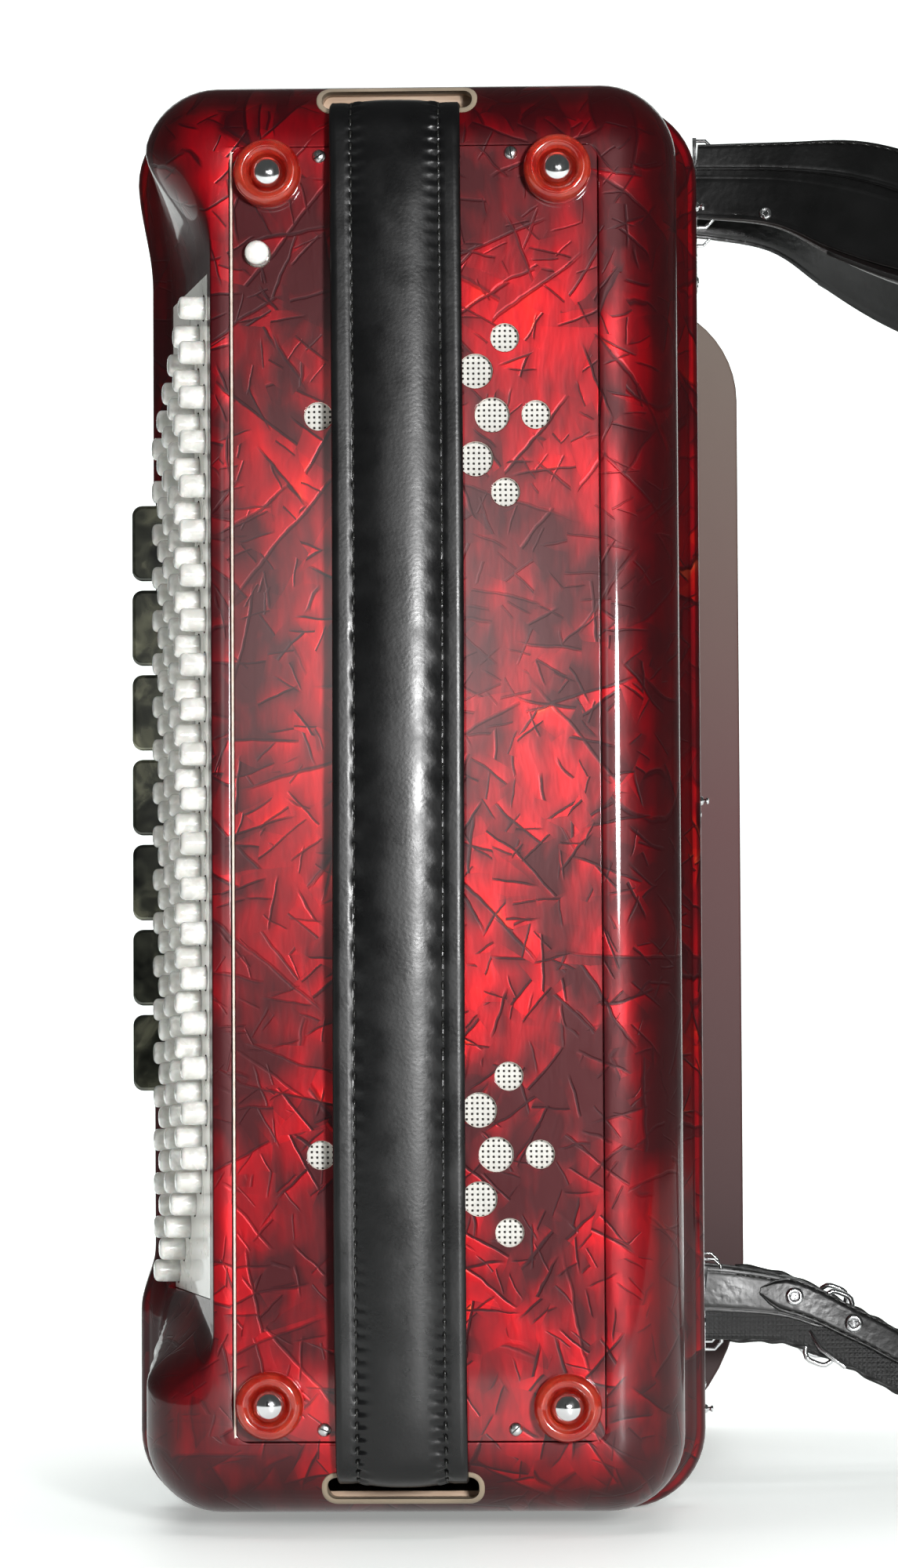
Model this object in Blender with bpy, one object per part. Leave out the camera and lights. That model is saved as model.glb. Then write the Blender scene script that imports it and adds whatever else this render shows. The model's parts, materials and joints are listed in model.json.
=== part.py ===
"""Piano accordion, 41 keys and 120 bass buttons, standing on its lower end.

Metres, +Z up. -X is the audience side, +X the player's side, -Y the bass end and +Y the keyboard end.
The origin is on the flat underside of the treble casing. Depth means distance behind the bass end face.
"""
import math

import bmesh
import bpy
from mathutils import Matrix, Vector

# Driving dimensions
GAP = 0.0003              # air left between solids that touch
HALF_W = 0.100            # half the width over the casing rims
HEIGHT = 0.500            # height over the casing rims
RIM_RADIUS = 0.028        # corner radius of the rims
FACE_Y = -0.250           # bass end face
BASS_RIM_Y = -0.142       # bellows side of the bass casing
BASS_RIM_THICK = 0.014
BODY_HALF_W = 0.0915      # bass casing body
BODY_LOW_Z = 0.006
BODY_HIGH_Z = 0.4926
BODY_RADIUS = 0.026
EDGE_ROUND = 0.024        # rounding between the end face and the sides
WALL = 0.006
FRAME_THICK = 0.0067      # wooden bellows frames
FRAME_INSET = 0.0060      # how far the frames and the ridges of the bellows stand inside the rims
TREBLE_BELLOWS_Y = -0.038
TREBLE_END_Y = 0.042
FOLDS = 16
MIDDLE_Z = HEIGHT / 2

PANEL = (-0.0602, 0.0645, 0.0315, 0.4685)   # bass cover plate: low x, high x, low z, high z
PANEL_THICK = 0.0022
PANEL_RADIUS = 0.006
STRAP_X = -0.0036         # centre line of the hand strap
STRAP_HALF_W = 0.0221

BUTTON_ROWS = ("counter_bass", "bass", "major", "minor", "seventh", "diminished")
BUTTONS_PER_ROW = 20
BUTTON_PITCH = 0.01525
BUTTON_RADIUS = 0.004
BUTTON_PROUD = 0.0088
ROW_PITCH = 0.013         # along Y
ROW_STEP_Z = 0.0082       # each deeper row starts this much lower
FIRST_ROW_DEPTH = 0.015
FIRST_BUTTON_Z = 0.4159
BOARD_X = -0.0704         # button board surface at the first row
BOARD_SLOPE = 0.2277      # outward run of the board for each metre of depth
BOARD_THICK = 0.003
BOARD_Z = (0.079, 0.4265)
BOARD_DEPTH = (0.007, 0.0865)
RIM_WAIST_X = -0.0946      # front of the rim beside the buttons

BASS_REGISTERS = 7
BASS_REGISTER_PITCH = 0.0302
BASS_REGISTER_Z = 0.252
TREBLE_REGISTERS = 5

WHITE_KEYS = 24
WHITE_PITCH = 0.0184
KEYBOARD_LOW_Z = 0.0116
KEY_END_Y = 0.198
BLACK_END_Y = 0.158
WHITE_AXLE = (0.062, 0.0625)      # x, y
BLACK_AXLE = (0.046, 0.046)
AXLE_RADIUS = 0.0015
FINGERBOARD_BACK = 0.1195
FINGERBOARD_Z = (0.008, 0.4565)
FINGERBOARD_END_Y = 0.200
LOW_CORNER = (0.048, 0.070)       # round corners of the fingerboard back: along X and along Z
HIGH_CORNER = (0.040, 0.040)

RED = (0.62, 0.02, 0.03)
DARK_RED = (0.20, 0.01, 0.02)
BLACK = (0.02, 0.02, 0.02)
PEARL = (0.90, 0.90, 0.87)
WOOD = (0.62, 0.47, 0.30)
CHROME = (0.80, 0.80, 0.82)


def clear_scene():
    for old in list(bpy.data.objects):
        bpy.data.objects.remove(old, do_unlink=True)


def material(name, colour, roughness, metallic=0.0):
    made = bpy.data.materials.new(name)
    made.use_nodes = True
    shader = made.node_tree.nodes["Principled BSDF"]
    shader.inputs["Base Color"].default_value = (*colour, 1.0)
    shader.inputs["Roughness"].default_value = roughness
    shader.inputs["Metallic"].default_value = metallic
    return made


def finish_mesh(name, mesh_maker, look=None, origin=(0.0, 0.0, 0.0)):
    """Turns a bmesh into a named object whose origin is at the given point."""
    bmesh.ops.recalc_face_normals(mesh_maker, faces=mesh_maker.faces)
    mesh = bpy.data.meshes.new(name)
    mesh_maker.to_mesh(mesh)
    mesh_maker.free()
    mesh.transform(Matrix.Translation(-Vector(origin)))
    made = bpy.data.objects.new(name, mesh)
    made.location = origin
    bpy.context.scene.collection.objects.link(made)
    if look:
        colour, roughness, metallic = look
        made.data.materials.append(material(name, colour, roughness, metallic))
        made.data.shade_smooth()
        made.data.set_sharp_from_angle(angle=math.radians(35))
    return made


def add_box(mesh_maker, low, high):
    size = Vector(high) - Vector(low)
    centre = (Vector(high) + Vector(low)) / 2
    grown = Matrix.Translation(centre) @ Matrix.Diagonal((*size, 1.0))
    return bmesh.ops.create_cube(mesh_maker, size=1.0, matrix=grown)["verts"]


def boxes(name, corner_pairs, look=None, origin=(0.0, 0.0, 0.0)):
    mesh_maker = bmesh.new()
    for low, high in corner_pairs:
        add_box(mesh_maker, low, high)
    return finish_mesh(name, mesh_maker, look, origin)


def add_prism(mesh_maker, outline, extrude):
    """Extrudes a closed outline of points by a vector."""
    low = [mesh_maker.verts.new(p) for p in outline]
    high = [mesh_maker.verts.new(Vector(p) + Vector(extrude)) for p in outline]
    mesh_maker.faces.new(low)
    mesh_maker.faces.new(reversed(high))
    for i, here in enumerate(low):
        after = (i + 1) % len(low)
        mesh_maker.faces.new((here, high[i], high[after], low[after]))


def prism(name, outline, extrude, look=None, origin=(0.0, 0.0, 0.0)):
    mesh_maker = bmesh.new()
    add_prism(mesh_maker, outline, extrude)
    return finish_mesh(name, mesh_maker, look, origin)


def add_cylinder(mesh_maker, start, end, radius, sides=12, end_radius=None):
    run = Vector(end) - Vector(start)
    turn = run.to_track_quat("Z", "Y").to_matrix().to_4x4()
    place = Matrix.Translation((Vector(start) + Vector(end)) / 2) @ turn
    bmesh.ops.create_cone(
        mesh_maker, cap_ends=True, segments=sides, depth=run.length, matrix=place,
        radius1=radius, radius2=radius if end_radius is None else end_radius,
    )


def cylinders(name, pieces, look=None, origin=(0.0, 0.0, 0.0)):
    """pieces holds (start, end, radius, sides) for each cylinder."""
    mesh_maker = bmesh.new()
    for start, end, radius, sides in pieces:
        add_cylinder(mesh_maker, start, end, radius, sides)
    return finish_mesh(name, mesh_maker, look, origin)


def turned(name, profile, axis_start, direction, sides, look):
    """Turns a profile of (radius, height) points, the first and last at radius 0, about an axis."""
    turn = Vector(direction).to_track_quat("Z", "Y").to_matrix()
    mesh_maker = bmesh.new()
    rings = []
    for radius, height in profile:
        steps = 1 if radius == 0.0 else sides
        ring = []
        for k in range(steps):
            angle = 2 * math.pi * k / sides
            local = Vector((radius * math.cos(angle), radius * math.sin(angle), height))
            ring.append(mesh_maker.verts.new(Vector(axis_start) + turn @ local))
        rings.append(ring)
    for lower, upper in zip(rings, rings[1:]):
        for k in range(sides):
            corners = [lower[k % len(lower)], lower[(k + 1) % len(lower)],
                       upper[(k + 1) % len(upper)], upper[k % len(upper)]]
            mesh_maker.faces.new(list(dict.fromkeys(corners)))
    return finish_mesh(name, mesh_maker, look, axis_start)


def skin_rings(mesh_maker, rings, closed_loop):
    """Joins rings of equal length: end caps for a solid bar, or no caps for a hollow loop."""
    laid = [[mesh_maker.verts.new(p) for p in ring] for ring in rings]
    pairs = list(zip(laid, laid[1:]))
    if closed_loop:
        pairs.append((laid[-1], laid[0]))
    else:
        mesh_maker.faces.new(laid[0])
        mesh_maker.faces.new(reversed(laid[-1]))
    for first, second in pairs:
        for k, here in enumerate(first):
            after = (k + 1) % len(first)
            mesh_maker.faces.new((here, first[after], second[after], second[k]))


def lofted(name, rings, look=None, closed_loop=False):
    mesh_maker = bmesh.new()
    skin_rings(mesh_maker, rings, closed_loop)
    return finish_mesh(name, mesh_maker, look)


def rounded_outline(box, radius, corner_steps, front_steps=1):
    """Points (x, z) round a rectangle, from its low front corner along the front side first."""
    low_x, high_x, low_z, high_z = box
    centres = ((low_x + radius, high_z - radius, 180), (high_x - radius, high_z - radius, 90),
               (high_x - radius, low_z + radius, 0), (low_x + radius, low_z + radius, 270))
    points = []
    for step in range(1, front_steps):
        run = high_z - low_z - 2 * radius
        points.append((low_x, low_z + radius + run * step / front_steps))
    for x, z, start in centres:
        for step in range(corner_steps + 1):
            angle = math.radians(start - 90 * step / corner_steps)
            points.append((x + radius * math.cos(angle), z + radius * math.sin(angle)))
    return points


def ring_at(box, radius, y, corner_steps=4, front_steps=1):
    return [(x, y, z) for x, z in rounded_outline(box, radius, corner_steps, front_steps)]


def inset(box, amount):
    low_x, high_x, low_z, high_z = box
    return (low_x + amount, high_x - amount, low_z + amount, high_z - amount)


def guide(cutter):
    cutter.hide_render = True
    cutter.display_type = "WIRE"


def change(target, tool, operation):
    """A Boolean on target: DIFFERENCE or UNION with tool, which is then only a guide."""
    step = target.modifiers.new(operation.lower() + "_" + tool.name, "BOOLEAN")
    step.operation = operation
    step.solver = "EXACT"
    step.object = tool
    guide(tool)
    return target


def cut(target, tool):
    return change(target, tool, "DIFFERENCE")


def merge(target, tool):
    return change(target, tool, "UNION")


RIM = (-HALF_W, HALF_W, 0.0, HEIGHT)
BODY = (-BODY_HALF_W, BODY_HALF_W, BODY_LOW_Z, BODY_HIGH_Z)
RED_CELLULOID = (RED, 0.12, 0.0)
POLISHED_METAL = (CHROME, 0.12, 1.0)
STRAP_LEATHER = (BLACK, 0.45, 0.0)
BARE_WOOD = (WOOD, 0.6, 0.0)
STRAP_NOTCH_HALF = 0.0185         # notches in the rims that let the bellows straps lie flush
STRAP_NOTCH_DEEP = 0.004


# ---------------------------------------------------------------- bass casing

def smooth_step(value, low, high):
    t = min(1.0, max(0.0, (value - low) / (high - low)))
    return t * t * (3 - 2 * t)


def recess_share(depth, z):
    """1 where the front wall is scooped in to the button board, 0 on the full casing."""
    low = 0.051 + 0.28 * depth
    rise = smooth_step(z, low - 0.008, low + 0.016)
    fall = 1 - smooth_step(z, 0.433, 0.474)
    return rise * fall


def board_x(depth):
    return BOARD_X - BOARD_SLOPE * (depth - FIRST_ROW_DEPTH)


def scoop_x(depth):
    """Where the scooped front wall stands: on the board's plane, then out to the rim's shallow waist."""
    deep = smooth_step(depth, 0.0885, 0.0945)
    return board_x(depth) + deep * (RIM_WAIST_X - board_x(depth))


def scooped(ring, depth, wall):
    """Moves the front wall of a ring in to the scoop, less the wall thickness."""
    moved = []
    for x, y, z in ring:
        if x < -0.055:
            share = recess_share(depth, z)
            x = x + share * (max(x, scoop_x(depth) + wall) - x)
        moved.append((x, y, z))
    return moved


def casing_ring(box, radius, depth, wall=0.0):
    ring = ring_at(box, radius, FACE_Y + depth, corner_steps=4, front_steps=18)
    return scooped(ring, depth, wall)


def bass_casing():
    """A hollow shell, open to the bellows, with the cover opening in its end face."""
    rings = [casing_ring(RIM, RIM_RADIUS, depth) for depth in (0.108, 0.095)]
    rings.append(casing_ring(inset(BODY, -0.002), BODY_RADIUS + 0.002, 0.0925))
    rings.append(casing_ring(BODY, BODY_RADIUS, 0.088))
    rings.append(casing_ring(BODY, BODY_RADIUS, 0.056))
    for step in range(6):
        angle = math.radians(90 * step / 5)
        back = EDGE_ROUND * (1 - math.cos(angle))
        depth = EDGE_ROUND * (1 - math.sin(angle))
        rings.append(casing_ring(inset(BODY, back), max(BODY_RADIUS - back, 0.006), depth))
    opening = inset(PANEL, -GAP)
    seat = PANEL_THICK + GAP
    rings.append(casing_ring(opening, PANEL_RADIUS, 0.0))
    rings.append(casing_ring(opening, PANEL_RADIUS, seat))
    rings.append(casing_ring(inset(opening, 0.005), PANEL_RADIUS, seat))
    rings.append(casing_ring(inset(opening, 0.005), PANEL_RADIUS, 0.0055))
    inside = ((0.0056, 0.022), (0.012, 0.012), (0.026, WALL), (0.088, WALL), (0.0955, WALL), (0.108, WALL))
    for depth, gap in inside:
        rings.append(casing_ring(inset(BODY, gap), BODY_RADIUS - min(gap, 0.018), depth, 0.0045))
    shell = lofted("bass_casing", rings, RED_CELLULOID, closed_loop=True)
    for name, box_z in (("upper_slot", (0.4817, 0.4898)), ("lower_slot", (0.0111, 0.0197))):
        slot = (STRAP_X - 0.026, STRAP_X + 0.026, *box_z)
        cut(shell, lofted(name, [ring_at(slot, 0.0035, y, 2) for y in (-0.262, -0.228)]))
    cut(shell, board_window())
    low_z = BASS_REGISTER_Z - BASS_REGISTER_PITCH * 3.5
    high_z = BASS_REGISTER_Z + BASS_REGISTER_PITCH * 3.5
    window = boxes("register_window", [((-0.110, -0.1610, low_z), (-0.0810, -0.1465, high_z))])
    cut(shell, window)
    cut(shell, boxes("strap_notches", rim_notches(-0.1525, -0.140)))
    shaft = ((STRAP_X, FACE_Y + 0.060, 0.480), (STRAP_X, FACE_Y + 0.060, 0.500), 0.0033, 12)
    cut(shell, cylinders("adjuster_hole", [shaft]))
    return shell


def rim_notches(low_y, high_y):
    half, deep = STRAP_NOTCH_HALF, STRAP_NOTCH_DEEP
    return [((-half, low_y, -0.001), (half, high_y, deep)),
            ((-half, low_y, HEIGHT - deep), (half, high_y, HEIGHT + 0.001))]


def board_point(depth, out, z):
    """A point at a depth along the button board, and a distance out from its surface."""
    slant = math.hypot(1.0, BOARD_SLOPE)
    return (board_x(depth) - out / slant, FACE_Y + depth - out * BOARD_SLOPE / slant, z)


def board_slab(name, depths, outs, heights, look=None):
    """A slab parallel to the button board."""
    first, last = depths
    outline = [board_point(first, outs[0], heights[0]), board_point(last, outs[0], heights[0]),
               board_point(last, outs[1], heights[0]), board_point(first, outs[1], heights[0])]
    return prism(name, outline, (0, 0, heights[1] - heights[0]), look)


def board_window():
    depths = (BOARD_DEPTH[0] - GAP, BOARD_DEPTH[1] + GAP)
    return board_slab("board_window", depths, (-0.012, 0.012), (BOARD_Z[0] - GAP, BOARD_Z[1] + GAP))


def button_place(row, button):
    """Depth and height of a button."""
    depth = FIRST_ROW_DEPTH + ROW_PITCH * row
    return depth, FIRST_BUTTON_Z - ROW_STEP_Z * row - BUTTON_PITCH * button


def button_board():
    board = board_slab("button_board", BOARD_DEPTH, (-BOARD_THICK, 0.0), BOARD_Z,
                       ((0.80, 0.80, 0.78), 0.3, 0.0))
    margin = BUTTON_RADIUS + 0.0006
    for row, name in enumerate(BUTTON_ROWS):
        depth, high = button_place(row, 0)
        low = button_place(row, BUTTONS_PER_ROW - 1)[1]
        side = margin / math.hypot(1.0, BOARD_SLOPE)
        slot = board_slab(name + "_slot", (depth - side, depth + side), (-0.006, 0.003),
                          (low - margin, high + margin))
        cut(board, slot)
    return board


def button_row(row, name):
    """Twenty buttons on the rail that joins them under the board."""
    depth, high = button_place(row, 0)
    low = button_place(row, BUTTONS_PER_ROW - 1)[1]
    side = 0.0027
    rail = board_slab(name + "_buttons", (depth - side, depth + side),
                      (-BOARD_THICK - 0.0035, -BOARD_THICK - GAP), (low - 0.003, high + 0.003),
                      (PEARL, 0.2, 0.0))
    stems = []
    for button in range(BUTTONS_PER_ROW):
        z = button_place(row, button)[1]
        stems.append((board_point(depth, -BOARD_THICK - 0.002, z),
                      board_point(depth, BUTTON_PROUD, z), BUTTON_RADIUS, 6))
    return merge(rail, cylinders(name + "_stems", stems))


def bass_cover():
    rings = [ring_at(PANEL, PANEL_RADIUS, FACE_Y + depth, 2) for depth in (0.0, PANEL_THICK)]
    plate = lofted("bass_cover_plate", rings, RED_CELLULOID)
    holes = []
    for group_z in GROUP_HEIGHTS:
        for radius, across, up in SOUND_HOLES:
            for side in (-1, 1):
                for rise in ((-up, up) if up else (0.0,)):
                    x = GROUP_X + side * across
                    z = group_z + rise
                    holes.append(((x, FACE_Y - 0.001, z), (x, FACE_Y + 0.004, z), radius, 8))
    holes.append(((AIR_BUTTON[0], FACE_Y - 0.001, AIR_BUTTON[1]),
                  (AIR_BUTTON[0], FACE_Y + 0.004, AIR_BUTTON[1]), 0.0046, 12))
    return cut(plate, cylinders("sound_holes", holes))


GROUP_X = 0.0064
GROUP_HEIGHTS = (0.3767, 0.1273)
SOUND_HOLES = ((0.00475, 0.0368, 0.0), (0.0058, 0.0220, 0.0),
               (0.0058, 0.0164, 0.0149), (0.00475, 0.0264, 0.0262))
AIR_BUTTON = (-0.0508, 0.4320)
FEET = ((-0.0470, 0.4588), (0.0510, 0.4595), (-0.0478, 0.0440), (0.0520, 0.0430))


def bass_fittings():
    """What is fixed to the bass casing or sits inside it."""
    for name, z in zip(("upper", "lower"), GROUP_HEIGHTS):
        back = FACE_Y + PANEL_THICK + GAP
        boxes("bass_cover_mesh_" + name, [((-0.040, back, z - 0.036), (0.050, back + 0.0006, z + 0.036))],
              (PEARL, 0.8, 0.0))
    for index, (x, z) in enumerate(FEET):
        profile = ((0.0, 0.0), (0.0115, 0.0), (0.0115, 0.003), (0.0085, 0.0085), (0.0035, 0.0115),
                   (0.0, 0.0115))
        turned(f"bumper_foot_{index + 1}", profile, (x, FACE_Y - GAP, z), (0, -1, 0), 12,
               ((0.65, 0.06, 0.03), 0.15, 0.0))
    board = inset(BODY, WALL + GAP)
    board_rings = [ring_at(board, BODY_RADIUS - WALL - GAP, y) for y in (-0.1455, -0.1505)]
    soundboard = lofted("bass_soundboard", board_rings, BARE_WOOD)
    cut(soundboard, boxes("air_hole", [((-0.034, -0.155, 0.440), (-0.008, -0.140, 0.462))]))
    combs = [((-0.034 + 0.040 * k, -0.1340, 0.074), (-0.006 + 0.040 * k, -0.0900, 0.416)) for k in range(2)]
    merge(boxes("bass_reed_block", [((-0.040, -0.1452, 0.070), (0.040, -0.1330, 0.420))], BARE_WOOD),
          boxes("bass_reed_comb", combs))
    frame_start = BASS_RIM_Y + GAP
    lofted("bellows_frame_bass", frame_rings(frame_start), BARE_WOOD, closed_loop=True)


def frame_rings(start):
    """The four rings of a wooden bellows frame that begins at the given Y."""
    outer, inner = inset(RIM, FRAME_INSET), inset(RIM, FRAME_INSET + 0.0135)
    end = start + FRAME_THICK
    return [ring_at(outer, 0.023, start), ring_at(outer, 0.023, end),
            ring_at(inner, 0.014, end), ring_at(inner, 0.014, start)]


STRAP_PATH = ((-0.2330, 0.4848), (-0.2480, 0.4840), (-0.2560, 0.4790), (-0.2592, 0.4690),
              (-0.2615, 0.4450), (-0.2640, 0.3700), (-0.2655, 0.2500), (-0.2640, 0.1300),
              (-0.2615, 0.0550), (-0.2592, 0.0310), (-0.2560, 0.0215), (-0.2480, 0.0172),
              (-0.2330, 0.0164))
STRAP_THICK = 0.0042
HAND_STRAP_SECTION = ((-1, -1), (-1, 0.3), (-0.6, 1), (0.6, 1), (1, 0.3), (1, -1))


def bass_strap():
    """The leather hand strap: out of the upper slot, over the cover and back in at the lower slot."""
    rings = []
    for index, (y, z) in enumerate(STRAP_PATH):
        before = STRAP_PATH[max(index - 1, 0)]
        after = STRAP_PATH[min(index + 1, len(STRAP_PATH) - 1)]
        along = Vector((0.0, after[0] - before[0], after[1] - before[1])).normalized()
        out = Vector((1.0, 0.0, 0.0)).cross(along)
        centre = Vector((STRAP_X, y, z))
        half = STRAP_THICK / 2
        rings.append([centre + Vector((STRAP_HALF_W * across, 0, 0)) + out * half * up
                      for across, up in HAND_STRAP_SECTION])
    return lofted("bass_hand_strap", rings, STRAP_LEATHER)


def bass_controls():
    """Air button and its valve, the strap adjuster, and the register tabs."""
    x, z = AIR_BUTTON
    profile = ((0.0, 0.0), (0.0041, 0.0), (0.0041, 0.0100), (0.0030, 0.0118), (0.0, 0.0124))
    turned("air_button", profile, (x, FACE_Y + 0.006, z), (0, -1, 0), 12, (PEARL, 0.2, 0.0))
    hinge_y, hinge_z = -0.1525, 0.4345
    boxes("air_valve", [((-0.036, -0.1545, hinge_z - 0.001), (-0.006, -0.1508, 0.4660))],
          ((0.55, 0.35, 0.2), 0.8, 0.0), (0.0, hinge_y, hinge_z))
    centre = (STRAP_X, FACE_Y + 0.060)
    top = BODY_HIGH_Z + GAP
    profile = ((0.0, 0.4820), (0.0030, 0.4820), (0.0030, top), (0.0090, top), (0.0090, top + 0.0030),
               (0.0080, top + 0.0040), (0.0, top + 0.0040))
    turned("strap_adjuster_wheel", [(r, h - top if h else h) for r, h in profile],
           (*centre, top), (0, 0, 1), 16, POLISHED_METAL)
    for index in range(BASS_REGISTERS):
        z = BASS_REGISTER_Z + BASS_REGISTER_PITCH * ((BASS_REGISTERS - 1) / 2 - index)
        corners = ((-0.1020, -0.1600, z - 0.0135), (-0.0890, -0.1475, z + 0.0135))
        tab = boxes(f"bass_register_{index + 1}", [corners], ((0.05, 0.07, 0.05), 0.08, 0.6))
        edge = tab.modifiers.new("edge", "BEVEL")
        edge.width = 0.0012
        edge.segments = 1


# ---------------------------------------------------------------- bellows

def bellows():
    """One folded tube: an outer zigzag of ridges and valleys and an inner wall that follows it."""
    start = BASS_RIM_Y + GAP + FRAME_THICK + GAP
    end = TREBLE_BELLOWS_Y - GAP - FRAME_THICK - GAP
    outer = inset(RIM, FRAME_INSET)
    count = 2 * FOLDS
    laid = []
    for k in range(count + 1):
        ridge = k % 2
        y = start + (end - start) * k / count
        laid.append((y, 0.0 if ridge else 0.0150))
    rings = [ring_at(inset(outer, deep), 0.023 - 0.4 * deep, y, 2) for y, deep in laid]
    rings += [ring_at(inset(outer, deep + 0.0030), 0.019 - 0.4 * deep, y, 2) for y, deep in reversed(laid)]
    return lofted("bellows", rings, ((0.10, 0.01, 0.01), 0.7, 0.0), closed_loop=True)


def bellows_strap(name, sign):
    """A leather strap hinged on the treble rim. sign is 1 on top and -1 underneath."""
    surface = MIDDLE_Z + sign * MIDDLE_Z
    pivot_y = -0.0140
    middle = surface - sign * 0.0020
    half = 0.0014
    outline = [(0.0, -0.1515, middle - half), (0.0, pivot_y, middle - half)]
    for step in range(1, 6):
        angle = math.radians(-90 + 180 * step / 6)
        outline.append((0.0, pivot_y + half * math.cos(angle), middle + half * math.sin(angle)))
    outline += [(0.0, pivot_y, middle + half), (0.0, -0.1515, middle + half)]
    shifted = [(-0.0165, y, z) for _, y, z in outline]
    return prism(name, shifted, (0.033, 0, 0), STRAP_LEATHER, (0.0, pivot_y, middle))


# ---------------------------------------------------------------- treble casing

def treble_casing():
    inner = inset(RIM, WALL)
    rings = [ring_at(RIM, RIM_RADIUS, TREBLE_BELLOWS_Y), ring_at(RIM, RIM_RADIUS, TREBLE_END_Y),
             ring_at(inner, 0.022, TREBLE_END_Y), ring_at(inner, 0.022, TREBLE_BELLOWS_Y)]
    shell = lofted("treble_casing", rings, RED_CELLULOID, closed_loop=True)
    return cut(shell, boxes("treble_notches", rim_notches(-0.039, -0.0120)))


def treble_fittings():
    """The soundboard, reed blocks, frame and keyboard bed, all fixed to the treble casing."""
    board_box = inset(RIM, WALL + GAP)
    board = lofted("treble_soundboard", [ring_at(board_box, 0.0217, y) for y in (0.0320, 0.0380)], BARE_WOOD)
    slots = [((-0.040, 0.030, 0.030), (-0.024, 0.040, 0.455)), ((0.004, 0.030, 0.030), (0.018, 0.040, 0.455))]
    cut(board, boxes("pallet_slots", slots))
    for name, low_x, high_x in (("low", -0.052, -0.012), ("high", -0.006, 0.034)):
        sole = ((low_x, 0.0250, 0.028), (high_x, 0.0317, 0.457))
        comb = ((low_x + 0.006, -0.0300, 0.032), (high_x - 0.006, 0.0260, 0.453))
        merge(boxes("treble_reed_block_" + name, [sole], BARE_WOOD), boxes("reed_comb_" + name, [comb]))
    frame_start = TREBLE_BELLOWS_Y - GAP - FRAME_THICK
    lofted("bellows_frame_treble", frame_rings(frame_start), BARE_WOOD, closed_loop=True)


GRILLE_PROFILE = ((-0.0985, 0.0423), (-0.0985, 0.0560), (-0.0950, 0.0660), (-0.0860, 0.0750),
                  (-0.0720, 0.0810), (-0.0450, 0.0850), (0.0000, 0.0860), (0.0350, 0.0860))
GRILLE_Z = (0.0020, 0.4980)
GRILLE_WALL = 0.0030


def treble_grille():
    """A curved cover over the pallets, closed at both ends and open below for the key levers."""
    low_z, high_z = GRILLE_Z
    low_y = TREBLE_END_Y + GAP
    outline = [(x, y, low_z) for x, y in GRILLE_PROFILE] + [(0.0350, low_y, low_z)]
    cover = prism("treble_grille", outline, (0, 0, high_z - low_z), RED_CELLULOID)
    wall = GRILLE_WALL
    inside = [(-0.0985 + wall, 0.0400), (-0.0985 + wall, 0.0550), (-0.0925, 0.0640), (-0.0845, 0.0722),
              (-0.0710, 0.0780), (-0.0445, 0.0820), (0.0000, 0.0830), (0.0320, 0.0830), (0.0320, 0.0400)]
    floor = [(x, y, low_z + wall) for x, y in inside]
    cut(cover, prism("grille_inside", floor, (0, 0, high_z - low_z - 2 * wall)))
    cut(cover, boxes("lever_way", [((0.0300, 0.0400, 0.0095), (0.0400, 0.0612, 0.4625))]))
    windows = []
    for k in range(8):
        low = 0.030 + 0.0565 * k
        windows.append(((-0.0780, 0.0700, low), (-0.0140, 0.0900, low + 0.0440)))
    cut(cover, boxes("grille_windows", windows))
    slots = []
    for index in range(TREBLE_REGISTERS):
        z = treble_register_z(index)
        slots.append(((0.0055, 0.0800, z - 0.0125), (0.0265, 0.0900, z + 0.0125)))
    cut(cover, boxes("tab_slots", slots))
    lining = [(-0.0790, 0.0738), (-0.0700, 0.0770), (-0.0445, 0.0812), (-0.0120, 0.0822),
              (-0.0120, 0.0816), (-0.0445, 0.0806), (-0.0700, 0.0764), (-0.0790, 0.0732)]
    prism("treble_grille_cloth", [(x, y, 0.0200) for x, y in lining], (0, 0, 0.4600), (BLACK, 0.9, 0.0))


def treble_register_z(index):
    return MIDDLE_Z + 0.034 * (2 - index)


def treble_registers():
    boxes("treble_register_rail", [((0.0040, 0.0690, 0.1500), (0.0280, 0.0730, 0.3500))], POLISHED_METAL)
    for index in range(TREBLE_REGISTERS):
        z = treble_register_z(index)
        corners = ((0.0060, 0.0770, z - 0.0120), (0.0260, 0.0900, z + 0.0120))
        tab = boxes(f"treble_register_{index + 1}", [corners], (PEARL, 0.2, 0.0))
        edge = tab.modifiers.new("edge", "BEVEL")
        edge.width = 0.0012
        edge.segments = 1


# ---------------------------------------------------------------- keyboard

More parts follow.
